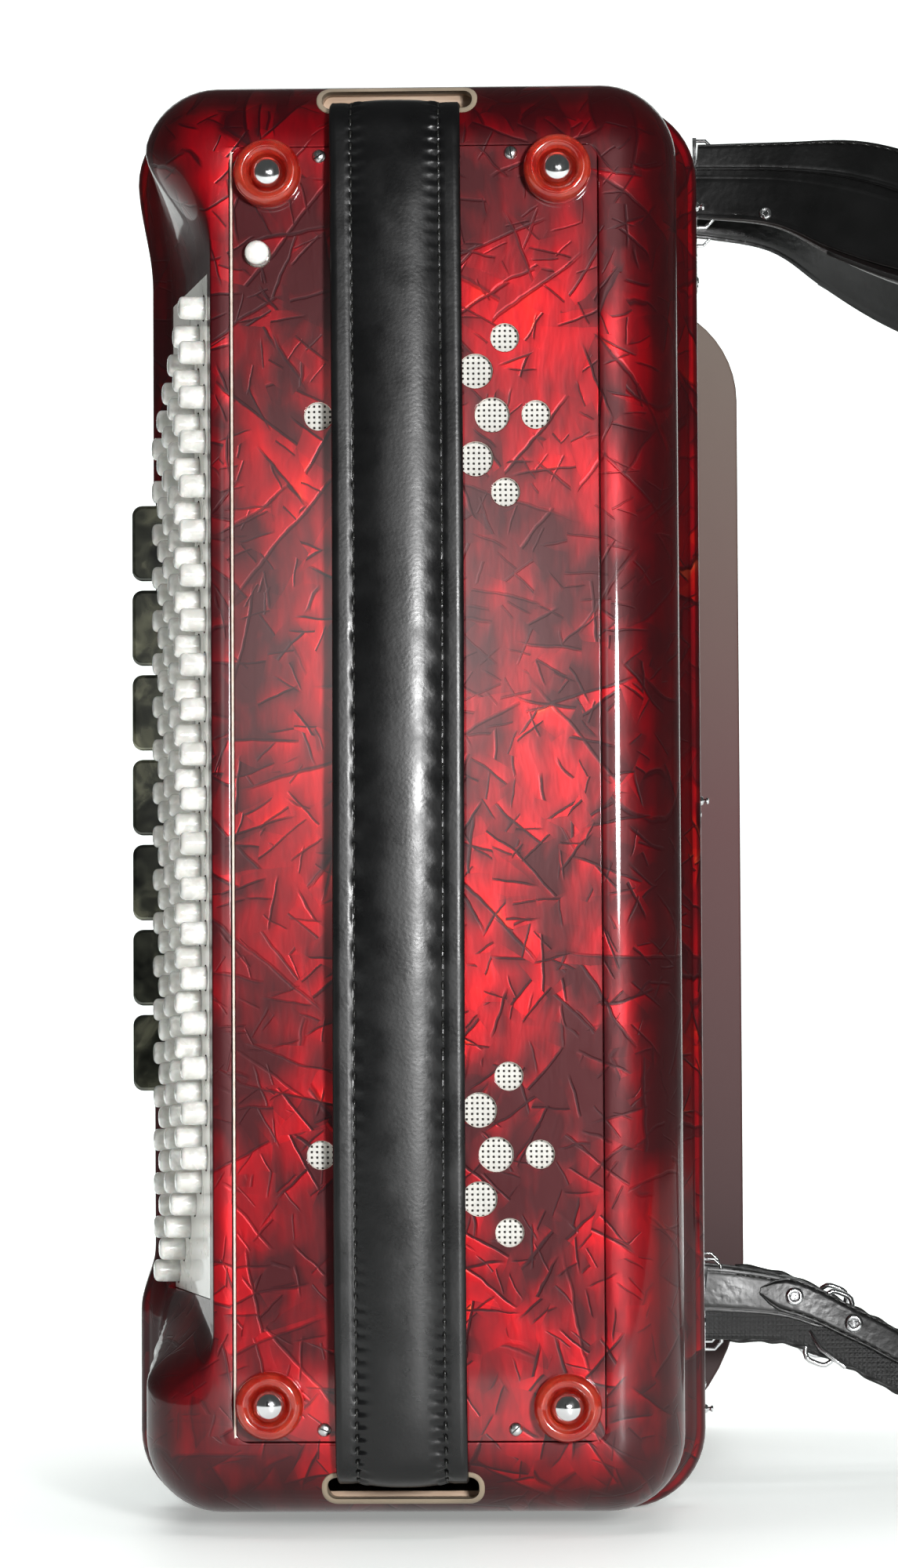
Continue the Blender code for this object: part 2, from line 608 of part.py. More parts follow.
def fingerboard():
    """A hollow wooden bed behind the keys, with a cheek at each end that carries the two axles."""
    low_z, high_z = FINGERBOARD_Z
    low_y = TREBLE_END_Y + GAP
    front = 0.0700

    def bed_outline(shrink, front_x):
        """Outline in X and Z: a wide round corner low on the back and a smaller one high on it."""
        points = [(front_x, low_z + shrink)]
        low_turn, high_turn = (-90, -72, -54, -36, -18, 0), (0, 18, 36, 54, 72, 90)
        for (wide, tall), centre_z, turns in ((LOW_CORNER, low_z + LOW_CORNER[1], low_turn),
                                              (HIGH_CORNER, high_z - HIGH_CORNER[1], high_turn)):
            for degrees in turns:
                angle = math.radians(degrees)
                points.append((FINGERBOARD_BACK - wide + (wide - shrink) * math.cos(angle),
                               centre_z + (tall - shrink) * math.sin(angle)))
        points.append((front_x, high_z - shrink))
        return points

    bed = prism("fingerboard", [(x, low_y, z) for x, z in bed_outline(0.0, front)],
                (0, FINGERBOARD_END_Y - low_y, 0), (DARK_RED, 0.1, 0.0))
    hollow = prism("bed_hollow", [(x, low_y + 0.005, z) for x, z in bed_outline(0.0032, front - 0.002)],
                   (0, FINGERBOARD_END_Y - low_y - 0.010, 0))
    cut(bed, hollow)
    for name, z in (("low_cheek", low_z), ("high_cheek", high_z - 0.0032)):
        outline = [(0.0400, low_y, z), (0.0710, low_y, z), (0.0710, FINGERBOARD_END_Y, z),
                   (0.0500, FINGERBOARD_END_Y, z), (0.0500, 0.0750, z), (0.0400, 0.0750, z)]
        merge(bed, prism(name, outline, (0, 0, 0.0032)))
    for name, (x, y) in (("white", WHITE_AXLE), ("black", BLACK_AXLE)):
        ends = (low_z + 0.0032 + GAP, high_z - 0.0032 - GAP)
        cylinders(name + "_key_axle", [((x, y, ends[0]), (x, y, ends[1]), AXLE_RADIUS, 10)], POLISHED_METAL)
    return bed


def key_places():
    """White keys' height ranges, and black keys' centres, from F at the top down to A.

    The pattern is the scale from F upwards; a black key stands above every white key whose next
    neighbour is a whole tone higher.
    """
    names = "FGABCDE"
    top = KEYBOARD_LOW_Z + WHITE_PITCH * WHITE_KEYS
    whites = []
    blacks = []
    for k in range(WHITE_KEYS):
        high = top - WHITE_PITCH * k
        whites.append((high - WHITE_PITCH, high))
        if names[k % 7] in "FGACD" and k < WHITE_KEYS - 1:
            blacks.append(high - WHITE_PITCH)
    return whites, blacks


GROUPS = ("low", "middle", "high")
BLACK_HALF = 0.0050
WHITE_ARM = ((-0.0300, 0.0535), (0.0600, 0.0535), (0.0600, 0.0602), (0.0500, 0.0602), (0.0460, 0.0570),
             (-0.0300, 0.0570))


def tail_limits(low, high, blacks):
    """How far a white key's tail may reach between the black keys beside it."""
    tail_low, tail_high = low + 0.0006, high - 0.0006
    if any(abs(b - low) < 0.001 for b in blacks):
        tail_low = low + BLACK_HALF + 0.0007
    if any(abs(b - high) < 0.001 for b in blacks):
        tail_high = high - BLACK_HALF - 0.0007
    return tail_low, tail_high


def bored(rail, axle, heights):
    x, y = axle
    bore = cylinders(rail.name + "_bore", [((x, y, heights[0] - 0.01), (x, y, heights[1] + 0.01),
                                            AXLE_RADIUS + GAP, 10)])
    return cut(rail, bore)


def white_group(name, keys, blacks):
    """A run of white keys with their levers and pallets, joined by the rail that turns on the axle."""
    x, y = WHITE_AXLE
    heights = (keys[-1][0] + 0.0012, keys[0][1] - 0.0012)
    bar = ((x, y, heights[0]), (x, y, heights[1]), 0.0038, 12)
    rail = cylinders(name, [bar], (PEARL, 0.2, 0.0), (x, y, MIDDLE_Z))
    plates = bmesh.new()
    arms = bmesh.new()
    pallets = []
    for low, high in keys:
        tail_low, tail_high = tail_limits(low, high, blacks)
        low, high = low + 0.0004, high - 0.0004
        shoulder = BLACK_END_Y + 0.0010
        outline = [(0.048, y, tail_low), (0.048, shoulder, tail_low), (0.048, shoulder, low),
                   (0.048, KEY_END_Y, low), (0.048, KEY_END_Y, high), (0.048, shoulder, high),
                   (0.048, shoulder, tail_high), (0.048, y, tail_high)]
        if tail_low <= low + 0.0003:
            outline[0:3] = [(0.048, y, low)]
            tail_low = low
        if tail_high >= high - 0.0003:
            outline[-3:] = [(0.048, y, high)]
            tail_high = high
        add_prism(plates, outline, (0.0120, 0, 0))
        middle = (tail_low + tail_high) / 2
        add_prism(arms, [(x, y, middle - 0.0010) for x, y in WHITE_ARM], (0, 0, 0.0020))
        pallets.append(((-0.0430, 0.0386, middle - 0.0052), (-0.0210, 0.0550, middle + 0.0052)))
    merge(rail, finish_mesh(name + "_plates", plates))
    merge(rail, finish_mesh(name + "_arms", arms))
    merge(rail, boxes(name + "_pallets", pallets))
    return bored(rail, WHITE_AXLE, heights)


def black_group(name, centres):
    """A run of black keys, built in the same way as the white ones."""
    x, y = BLACK_AXLE
    heights = (centres[-1] - BLACK_HALF, centres[0] + BLACK_HALF)
    bar = ((x, y, heights[0]), (x, y, heights[1]), 0.0034, 12)
    rail = cylinders(name, [bar], (BLACK, 0.2, 0.0), (x, y, MIDDLE_Z))
    sticks = bmesh.new()
    arms = []
    pallets = []
    for z in centres:
        low = z - BLACK_HALF
        outline = [(0.0440, y, low), (0.0380, 0.0610, low), (0.0380, 0.1530, low), (0.0420, BLACK_END_Y, low),
                   (0.0550, BLACK_END_Y, low), (0.0550, 0.0700, low), (0.0480, y, low)]
        add_prism(sticks, outline, (0, 0, 2 * BLACK_HALF))
        arms.append(((0.0060, 0.0450, z - 0.0010), (0.0460, 0.0475, z + 0.0010)))
        pallets.append(((0.0010, 0.0386, z - 0.0045), (0.0210, 0.0460, z + 0.0045)))
    merge(rail, finish_mesh(name + "_sticks", sticks))
    merge(rail, boxes(name + "_arms", arms))
    merge(rail, boxes(name + "_pallets", pallets))
    return bored(rail, BLACK_AXLE, heights)


def keyboard():
    whites, blacks = key_places()
    fingerboard()
    third = WHITE_KEYS // 3
    for name, keys in zip(GROUPS, (whites[:third], whites[third:2 * third], whites[2 * third:])):
        white_group("white_keys_" + name, keys, blacks)
    third = len(blacks) // 3
    for name, centres in zip(GROUPS, (blacks[:third], blacks[third:2 * third], blacks[2 * third:])):
        black_group("black_keys_" + name, centres)


# ---------------------------------------------------------------- shoulder straps

STRAP_ROUTE = (   # x, y, z, half width, half thickness, turn of the width from upright towards Y in degrees
    (0.1048, 0.000, 0.4925, 0.0140, 0.0020, 2), (0.1350, -0.002, 0.4900, 0.0165, 0.0028, 10),
    (0.1600, -0.004, 0.4835, 0.0235, 0.0042, 18), (0.1850, -0.006, 0.4730, 0.0275, 0.0052, 30),
    (0.2200, -0.009, 0.4560, 0.0300, 0.0060, 48), (0.2550, -0.012, 0.4310, 0.0310, 0.0060, 66),
    (0.2850, -0.014, 0.4000, 0.0310, 0.0060, 80), (0.3080, -0.015, 0.3580, 0.0310, 0.0060, 88),
    (0.3210, -0.016, 0.3050, 0.0310, 0.0060, 90), (0.3250, -0.016, 0.2480, 0.0310, 0.0060, 90),
    (0.3200, -0.016, 0.1900, 0.0300, 0.0060, 90), (0.3060, -0.015, 0.1360, 0.0270, 0.0050, 84),
    (0.2820, -0.013, 0.0900, 0.0180, 0.0030, 70), (0.2500, -0.010, 0.0570, 0.0140, 0.0020, 50),
    (0.2150, -0.006, 0.0400, 0.0140, 0.0020, 32), (0.1850, -0.003, 0.0385, 0.0140, 0.0020, 18),
    (0.1600, -0.001, 0.0500, 0.0140, 0.0020, 12), (0.1350, 0.000, 0.0610, 0.0140, 0.0020, 8),
    (0.1050, 0.000, 0.0645, 0.0145, 0.0020, 2),
)


SHOULDER_SECTION = ((-1, -0.6), (-1, 0.6), (-0.8, 1), (0.8, 1), (1, 0.6), (1, -0.6), (0.8, -1), (-0.8, -1))


def shoulder_strap(name, base_y, lean):
    """A padded leather strap from an upper bracket, round the player's shoulder, to a lower bracket."""
    rings = []
    for index, (x, y, z, half_w, half_t, turn) in enumerate(STRAP_ROUTE):
        before = STRAP_ROUTE[max(index - 1, 0)]
        after = STRAP_ROUTE[min(index + 1, len(STRAP_ROUTE) - 1)]
        along = Vector((after[0] - before[0], lean * (after[1] - before[1]), after[2] - before[2]))
        along.normalize()
        upright = along.cross(Vector((0.0, 1.0, 0.0))).normalized()
        side = Vector((0.0, 1.0, 0.0)) - along * along.y
        side.normalize()
        angle = math.radians(turn)
        if index > len(STRAP_ROUTE) // 2:
            upright = -upright
        width = upright * math.cos(angle) + side * math.sin(angle) * lean
        thick = along.cross(width)
        centre = Vector((x, base_y + lean * y * 2.2, z))
        rings.append([centre + width * half_w * a + thick * half_t * b for a, b in SHOULDER_SECTION])
    return lofted(name, rings, STRAP_LEATHER)


# plate height, and the heights of the two ears that hold the strap's pin
BRACKETS = {"upper": (0.4600, (0.4752, 0.5084)), "lower": (0.0640, (0.0474, 0.0814))}


def straps():
    x = HALF_W + GAP
    for side, y, lean in (("left", -0.0240, 1), ("right", 0.0230, -1)):
        shoulder_strap("shoulder_strap_" + side, y, lean)
        for place, (plate_z, ears_z) in BRACKETS.items():
            plate = ((x, y - 0.0090, plate_z - 0.0120), (x + 0.0020, y + 0.0090, plate_z + 0.0115))
            bracket = boxes(f"strap_bracket_{place}_{side}", [plate], POLISHED_METAL)
            low = min(plate_z - 0.0100, ears_z[0])
            tang = ((x + 0.0010, y - 0.0030, low), (x + 0.0025, y + 0.0030, ears_z[1]))
            merge(bracket, boxes(f"bracket_tang_{place}_{side}", [tang]))
            ears = [((x + 0.0010, y - 0.0022, z - 0.0008), (x + 0.0090, y + 0.0022, z + 0.0008))
                    for z in ears_z]
            merge(bracket, boxes(f"bracket_ears_{place}_{side}", ears))


def main():
    clear_scene()
    bass_casing()
    button_board()
    for row, name in enumerate(BUTTON_ROWS):
        button_row(row, name)
    bass_cover()
    bass_fittings()
    bass_strap()
    bass_controls()
    bellows()
    bellows_strap("bellows_strap_upper", 1)
    bellows_strap("bellows_strap_lower", -1)
    treble_casing()
    treble_fittings()
    treble_grille()
    treble_registers()
    keyboard()
    straps()


main()
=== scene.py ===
"""Looks of the piano accordion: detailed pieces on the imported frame, materials, floor, light and camera."""
import json
import math

import bmesh
import bpy
from mathutils import Matrix, Vector

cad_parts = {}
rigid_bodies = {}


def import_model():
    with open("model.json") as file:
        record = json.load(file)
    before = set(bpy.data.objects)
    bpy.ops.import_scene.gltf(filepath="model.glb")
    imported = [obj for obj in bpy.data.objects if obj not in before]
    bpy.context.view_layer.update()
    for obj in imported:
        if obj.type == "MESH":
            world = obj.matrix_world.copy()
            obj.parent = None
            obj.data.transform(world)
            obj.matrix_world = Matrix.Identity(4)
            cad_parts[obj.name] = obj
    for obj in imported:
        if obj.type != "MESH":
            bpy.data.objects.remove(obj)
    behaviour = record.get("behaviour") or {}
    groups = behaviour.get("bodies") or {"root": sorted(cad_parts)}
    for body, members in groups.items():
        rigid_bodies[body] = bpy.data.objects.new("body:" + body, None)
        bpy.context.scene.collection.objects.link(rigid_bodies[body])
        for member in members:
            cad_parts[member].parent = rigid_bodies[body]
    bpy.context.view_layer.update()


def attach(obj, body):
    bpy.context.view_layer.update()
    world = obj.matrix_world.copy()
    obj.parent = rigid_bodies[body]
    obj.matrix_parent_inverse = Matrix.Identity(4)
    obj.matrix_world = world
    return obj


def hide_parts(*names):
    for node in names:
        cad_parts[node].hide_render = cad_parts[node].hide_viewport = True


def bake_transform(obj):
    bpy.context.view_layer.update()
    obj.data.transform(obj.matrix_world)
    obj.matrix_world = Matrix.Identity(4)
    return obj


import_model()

# Dimensions of the frame that the pieces repeat, in metres. X runs across, Y back from the bass end, Z up.
# A box is (low x, high x, low z, high z).
GAP = 0.0003                                   # air between neighbouring pieces
FACE_Y = -0.250                                # front of the bass casing; a depth is measured from here
RIM = (-0.100, 0.100, 0.0, 0.500)
BODY = (-0.0915, 0.0915, 0.006, 0.4926)
RIM_RADIUS, BODY_RADIUS, EDGE_ROUND, WALL = 0.028, 0.026, 0.024, 0.006
PANEL = (-0.0602, 0.0645, 0.0315, 0.4685)
PANEL_THICK, PANEL_RADIUS = 0.0022, 0.006
STRAP_X, STRAP_HALF_W = -0.0036, 0.0221        # the hand strap, its slots and its adjuster wheel
STRAP_SLOTS, SLOT_HALF_W = ((0.4817, 0.4898), (0.0111, 0.0197)), 0.026
ADJUSTER_Y = -0.190
BOARD_X, BOARD_SLOPE, FIRST_DEPTH = -0.0704, 0.2277, 0.015
BOARD_Z, BOARD_DEPTH, BOARD_THICK = (0.079, 0.4265), (0.007, 0.0865), 0.003
RIM_WAIST_X = -0.0946
ROWS = ("counter_bass", "bass", "major", "minor", "seventh", "diminished")
FIRST_Z, BUTTON_PITCH, ROW_STEP_Z, ROW_PITCH = 0.4159, 0.01525, 0.0082, 0.013
GROUP_X, GROUP_HEIGHTS = 0.0064, (0.3767, 0.1273)
SOUND_HOLES = ((0.00475, 0.0368, 0.0), (0.0058, 0.0220, 0.0),
               (0.0058, 0.0164, 0.0149), (0.00475, 0.0264, 0.0262))
AIR_BUTTON = (-0.0508, 0.4320)
FEET = ((-0.0470, 0.4588), (0.0510, 0.4595), (-0.0478, 0.0440), (0.0520, 0.0430))
REGISTER_Z, REGISTER_PITCH = 0.252, 0.0302
BELLOWS_Y = (-0.1347, -0.0453)
FOLDS = 16                                     # pleats of the bellows
TREBLE_Y = (-0.038, 0.042)
WHITE_PITCH, KEYBOARD_LOW_Z, WHITE_KEYS = 0.0184, 0.0116, 24
KEY_END_Y, BLACK_END_Y, BLACK_HALF = 0.198, 0.158, 0.0050
WHITE_AXLE, BLACK_AXLE = (0.062, 0.0625), (0.046, 0.046)
GROUPS = ("low", "middle", "high")
BOARD_BACK, BOARD_BACK_Z, BOARD_END_Y = 0.1195, (0.008, 0.4565), 0.200
LOW_CORNER, HIGH_CORNER = (0.048, 0.070), (0.040, 0.040)


# ---------------------------------------------------------------- meshes

SHARP, SMOOTH = 35, 180   # degrees between faces from which their edge is hard, and for no hard edges


def finish(name, maker, looks, body=None, replaces=(), sharp=SHARP):
    """Turns a bmesh into a named piece with its materials, riding on a body."""
    bmesh.ops.recalc_face_normals(maker, faces=maker.faces)
    mesh = bpy.data.meshes.new(name)
    maker.to_mesh(mesh)
    maker.free()
    made = bpy.data.objects.new(name, mesh)
    bpy.context.scene.collection.objects.link(made)
    for look in looks if isinstance(looks, (list, tuple)) else [looks]:
        mesh.materials.append(look)
    mesh.shade_smooth()
    if sharp < SMOOTH:
        mesh.set_sharp_from_angle(angle=math.radians(sharp))
    settle(made, body, replaces)
    return made


def settle(made, body=None, replaces=()):
    if replaces:
        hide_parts(*replaces)
    if body:
        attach(made, body)


def round_edges(made, width, steps=3, angle=30):
    edge = made.modifiers.new("edge", "BEVEL")
    edge.width = width
    edge.segments = steps
    edge.limit_method = "ANGLE"
    edge.angle_limit = math.radians(angle)
    edge.harden_normals = True
    return made


def skin(maker, rings, closed=False, look=0):
    """Joins rings of equal length. closed joins the last ring to the first, else both ends get a cap."""
    laid = [[maker.verts.new(p) for p in ring] for ring in rings]
    pairs = list(zip(laid, laid[1:]))
    faces = []
    if closed:
        pairs.append((laid[-1], laid[0]))
    else:
        faces += [maker.faces.new(laid[0]), maker.faces.new(reversed(laid[-1]))]
    for first, second in pairs:
        for k, here in enumerate(first):
            after = (k + 1) % len(first)
            faces.append(maker.faces.new((here, first[after], second[after], second[k])))
    for face in faces:
        face.material_index = look(face) if callable(look) else look
    return laid


def circle(count):
    """The cosine and sine of each of count equal steps round a circle."""
    return [(math.cos(2 * math.pi * k / count), math.sin(2 * math.pi * k / count)) for k in range(count)]


def arc(centre, radii, start, turn, steps):
    """Points on an ellipse's arc that begins at start degrees and goes on by turn degrees."""
    angles = [math.radians(start + turn * step / steps) for step in range(steps + 1)]
    return [(centre[0] + radii[0] * math.cos(a), centre[1] + radii[1] * math.sin(a)) for a in angles]


def outline_points(box, radius, corner_steps, front=(0.5,)):
    """Points (x, z) round a rectangle; front holds the shares of the front side that get a point."""
    low_x, high_x, low_z, high_z = box
    run = high_z - low_z - 2 * radius
    points = [(low_x, low_z + radius + run * share) for share in front]
    for x, z, start in ((low_x + radius, high_z - radius, 180), (high_x - radius, high_z - radius, 90),
                        (high_x - radius, low_z + radius, 0), (low_x + radius, low_z + radius, 270)):
        points += arc((x, z), (radius, radius), start, -90, corner_steps)
    return points


def ring_at(box, radius, y, corner_steps=10, front=(0.5,)):
    return [(x, y, z) for x, z in outline_points(box, radius, corner_steps, front)]


def inset(box, amount):
    return (box[0] + amount, box[1] - amount, box[2] + amount, box[3] - amount)


def between(box, other, share):
    return tuple(a + share * (b - a) for a, b in zip(box, other))


def curve_through(points, steps):
    """Catmull-Rom through points of any length, with steps pieces between each pair."""
    laid = [Vector(p) for p in points]
    laid = [2 * laid[0] - laid[1]] + laid + [2 * laid[-1] - laid[-2]]
    made = []
    for a, b, c, d in zip(laid, laid[1:], laid[2:], laid[3:]):
        for step in range(steps):
            t = step / steps
            made.append(0.5 * (2 * b + (c - a) * t + (2 * a - 5 * b + 4 * c - d) * t * t
                               + (3 * b - a - 3 * c + d) * t ** 3))
    return made + [laid[-2].copy()]


def frame_along(direction):
    return Vector(direction).to_track_quat("Z", "Y").to_matrix()


def lathe(maker, profile, start, direction, sides=28, look=0):
    """Turns (radius, height) points, the first and last at radius 0, about an axis."""
    turn = frame_along(direction)
    rings = []
    for radius, height in profile:
        count = 1 if radius == 0 else sides
        rings.append([maker.verts.new(Vector(start) + turn @ Vector((radius * c, radius * s, height)))
                      for c, s in circle(sides)[:count]])
    for lower, upper in zip(rings, rings[1:]):
        for k in range(sides):
            corners = [lower[k % len(lower)], lower[(k + 1) % len(lower)],
                       upper[(k + 1) % len(upper)], upper[k % len(upper)]]
            face = maker.faces.new(list(dict.fromkeys(corners)))
            face.material_index = look


def rod(maker, radius, length, start, direction, sides, look=0):
    """A plain cylinder; as a cutter, it makes a round hole."""
    lathe(maker, ((0, 0), (radius, 0), (radius, length), (0, length)), start, direction, sides, look)


def tube(maker, points, radius, sides=8, look=0):
    """A round cord through points, closed at both ends."""
    rings = []
    side = None
    for index, point in enumerate(points):
        after, before = points[min(index + 1, len(points) - 1)], points[max(index - 1, 0)]
        along = (Vector(after) - Vector(before)).normalized()
        side = along.orthogonal() if side is None else side - along * side.dot(along)
        side.normalize()
        other = along.cross(side)
        rings.append([Vector(point) + radius * (side * c + other * s) for c, s in circle(sides)])
    skin(maker, rings, look=look)


def slab(maker, outline, extrude, look=0):
    """A prism of an outline of points along a vector."""
    skin(maker, [outline, [Vector(p) + Vector(extrude) for p in outline]], look=look)


def block(maker, low, high, look=0):
    sides = ((low, low), (high, low), (high, high), (low, high))
    slab(maker, [(a[0], b[1], low[2]) for a, b in sides], (0, 0, high[2] - low[2]), look)


def stitches(maker, centre_line, up, pitch, length, radius):
    """Short threads along a line of points, each dipping into the leather at its ends. up(point) is outwards."""
    run = 0.0
    for here, after in zip(centre_line, centre_line[1:]):
        run += (after - here).length
        if run >= pitch:
            run -= pitch
            along = (after - here).normalized()
            ends = [here + along * (length * t) + up(here) * h for t, h in
                    ((-0.5, -0.0004), (-0.36, 0.00012), (0.0, 0.00026), (0.36, 0.00012), (0.5, -0.0004))]
            tube(maker, ends, radius, 6)


def carve(made, cutters):
    """Cuts the cutters out of a piece for good; cut faces take the cutter's material."""
    for cutter in cutters:
        step = made.modifiers.new("cut", "BOOLEAN")
        step.operation = "DIFFERENCE"
        step.solver = "EXACT"
        step.material_mode = "TRANSFER"
        step.object = cutter
    evaluated = made.evaluated_get(bpy.context.evaluated_depsgraph_get())
    mesh = bpy.data.meshes.new_from_object(evaluated)
    made.modifiers.clear()
    made.data = mesh
    for cutter in cutters:
        bpy.data.objects.remove(cutter, do_unlink=True)
    mesh.shade_smooth()
    mesh.set_sharp_from_angle(angle=math.radians(SHARP))
    return made


def smooth_step(value, low, high):
    t = min(1.0, max(0.0, (value - low) / (high - low)))
    return t * t * (3 - 2 * t)


# ---------------------------------------------------------------- materials

class Look:
    """One material's nodes, built with short calls. Coordinates are metres in the part's own frame."""

    def __init__(self, name, colour, roughness, metallic=0.0, **fixed):
        self.made = bpy.data.materials.new(name)
        self.made.use_nodes = True
        self.tree = self.made.node_tree
        self.shader = self.tree.nodes["Principled BSDF"]
        fixed.update({"Base Color": (*colour, 1.0), "Roughness": roughness, "Metallic": metallic})
        for socket, value in fixed.items():
            self.shader.inputs[socket.replace("_", " ")].default_value = value
        self.place = self.add("ShaderNodeTexCoord", out="Object")

    def add(self, kind, out=0, props=(), **inputs):
        """Adds a node and returns its output. An input is named by its socket, or i0, i1 and so on by its place."""
        node = self.tree.nodes.new(kind)
        for key, value in dict(props).items():
            setattr(node, key, value)
        for key, value in inputs.items():
            socket = node.inputs[int(key[1:])] if key[0] == "i" and key[1:].isdigit() else node.inputs[key]
            if isinstance(value, bpy.types.NodeSocket):
                self.tree.links.new(value, socket)
            else:
                socket.default_value = value
        return node.outputs[out]

    def math(self, operation, a, b=0.0):
        return self.add("ShaderNodeMath", props={"operation": operation}, i0=a, i1=b)

    def plus(self, a, b):
        return self.math("ADD", a, b)

    def times(self, a, b):
        return self.math("MULTIPLY", a, b)

    def part(self, axis, vector):
        """One coordinate of a vector: 0, 1 or 2 for X, Y or Z."""
        return self.add("ShaderNodeSeparateXYZ", axis, Vector=vector)

    def vector(self, operation, a, b=(0, 0, 0), out=0):
        return self.add("ShaderNodeVectorMath", out, {"operation": operation}, i0=a, i1=b)

    def scaled(self, vector, amount):
        return self.add("ShaderNodeVectorMath", 0, {"operation": "SCALE"}, i0=vector, Scale=amount)

    def stretch(self, scale, vector=None, turn=(0, 0, 0)):
        return self.add("ShaderNodeMapping", Vector=vector or self.place, Scale=scale, Rotation=turn)

    def noise(self, scale, detail=3, rough=0.5, vector=None, out=0):
        return self.add("ShaderNodeTexNoise", out, Vector=vector or self.place, Scale=scale, Detail=detail,
                        Roughness=rough)

    def remap(self, value, low, high, to_low=0.0, to_high=1.0, kind="SMOOTHSTEP"):
        return self.add("ShaderNodeMapRange", props={"interpolation_type": kind}, i0=value, i1=low, i2=high,
                        i3=to_low, i4=to_high)

    def mix(self, factor, a, b):
        """A mix of two colours, each a socket or an (r, g, b) tuple. The node's colour sockets are 6 and 7."""
        a, b = [(*colour, 1.0) if isinstance(colour, tuple) else colour for colour in (a, b)]
        return self.add("ShaderNodeMix", 2, {"data_type": "RGBA"}, i0=factor, i6=a, i7=b)

    def ramp(self, factor, stops):
        node = self.tree.nodes.new("ShaderNodeValToRGB")
        self.tree.links.new(factor, node.inputs[0])
        points = node.color_ramp.elements
        while len(points) < len(stops):
            points.new(0.5)
        for point, (place, colour) in zip(points, stops):
            point.position = place
            point.color = (*colour, 1.0)
        return node.outputs[0]

    def bump(self, height, strength, distance):
        return self.add("ShaderNodeBump", Height=height, Strength=strength, Distance=distance)

    def set(self, **sockets):
        for name, value in sockets.items():
            self.tree.links.new(value, self.shader.inputs[name.replace("_", " ")])
        return self


HALF = (0.5, 0.5, 0.5)


def warped(look, scale, amount):
    """The place on the piece, pushed about by a noise of that scale."""
    shift = look.vector("SUBTRACT", look.noise(scale, 2, out="Color"), HALF)
    return look.vector("ADD", look.place, look.scaled(shift, amount))


def shade(colour, amount):
    return tuple(min(1.0, c * amount) for c in colour)


def folds(look, scale, vector, width, keep):
    """Straight folds: a short line through each cell with a random tilt, as (dark line, shade that it throws)."""
    cell = look.add("ShaderNodeTexVoronoi", "Position", Vector=vector, Scale=scale).node
    tilt = look.vector("NORMALIZE", look.vector("SUBTRACT", cell.outputs["Color"], HALF))
    away = look.vector("SUBTRACT", vector, cell.outputs["Position"])
    side = look.vector("DOT_PRODUCT", away, tilt, 1)
    there = look.math("GREATER_THAN", look.part(1, cell.outputs["Color"]), keep)
    fade = look.times(look.remap(cell.outputs["Distance"], 0.42, 0.78, 1.0, 0.0), there)
    line = look.times(look.remap(look.math("ABSOLUTE", side), width * 0.4, width * 1.3, 1.0, 0.0), fade)
    slope = look.math("DIVIDE", side, 0.30 / scale)
    falling = look.math("EXPONENT", look.times(look.math("ABSOLUTE", slope), -1.6))
    return line, look.times(look.times(look.math("SIGN", side), falling), fade)


# Sets of folds: cells per metre, half width of the line, share of cells without one, shade and darkness
FOLD_SETS = ((20, 0.00060, 0.12, 0.22, 0.8), (32, 0.00056, 0.12, 0.25, 1.0), (50, 0.00048, 0.15, 0.25, 1.0),
             (78, 0.00040, 0.22, 0.20, 1.0), (122, 0.00032, 0.30, 0.14, 0.9))
# Ramp of the pearl's clouds, dark maroon to bright orange-red: partly its own clouding, partly painted sheen
# towards the bright end.
PEARL_STOPS = ((0.0, (0.045, 0.0, 0.002)), (0.22, (0.120, 0.0, 0.003)), (0.46, (0.27, 0.0004, 0.005)),
               (0.68, (0.46, 0.0015, 0.006)), (0.88, (0.72, 0.014, 0.008)), (1.0, (0.95, 0.095, 0.035)))
# The second colour is the painted shade that a sheet's sides are darkened towards.
FOLD_COLOUR, SIDE_SHADE_COLOUR = (0.022, 0.0, 0.002), (0.040, 0.0004, 0.002)


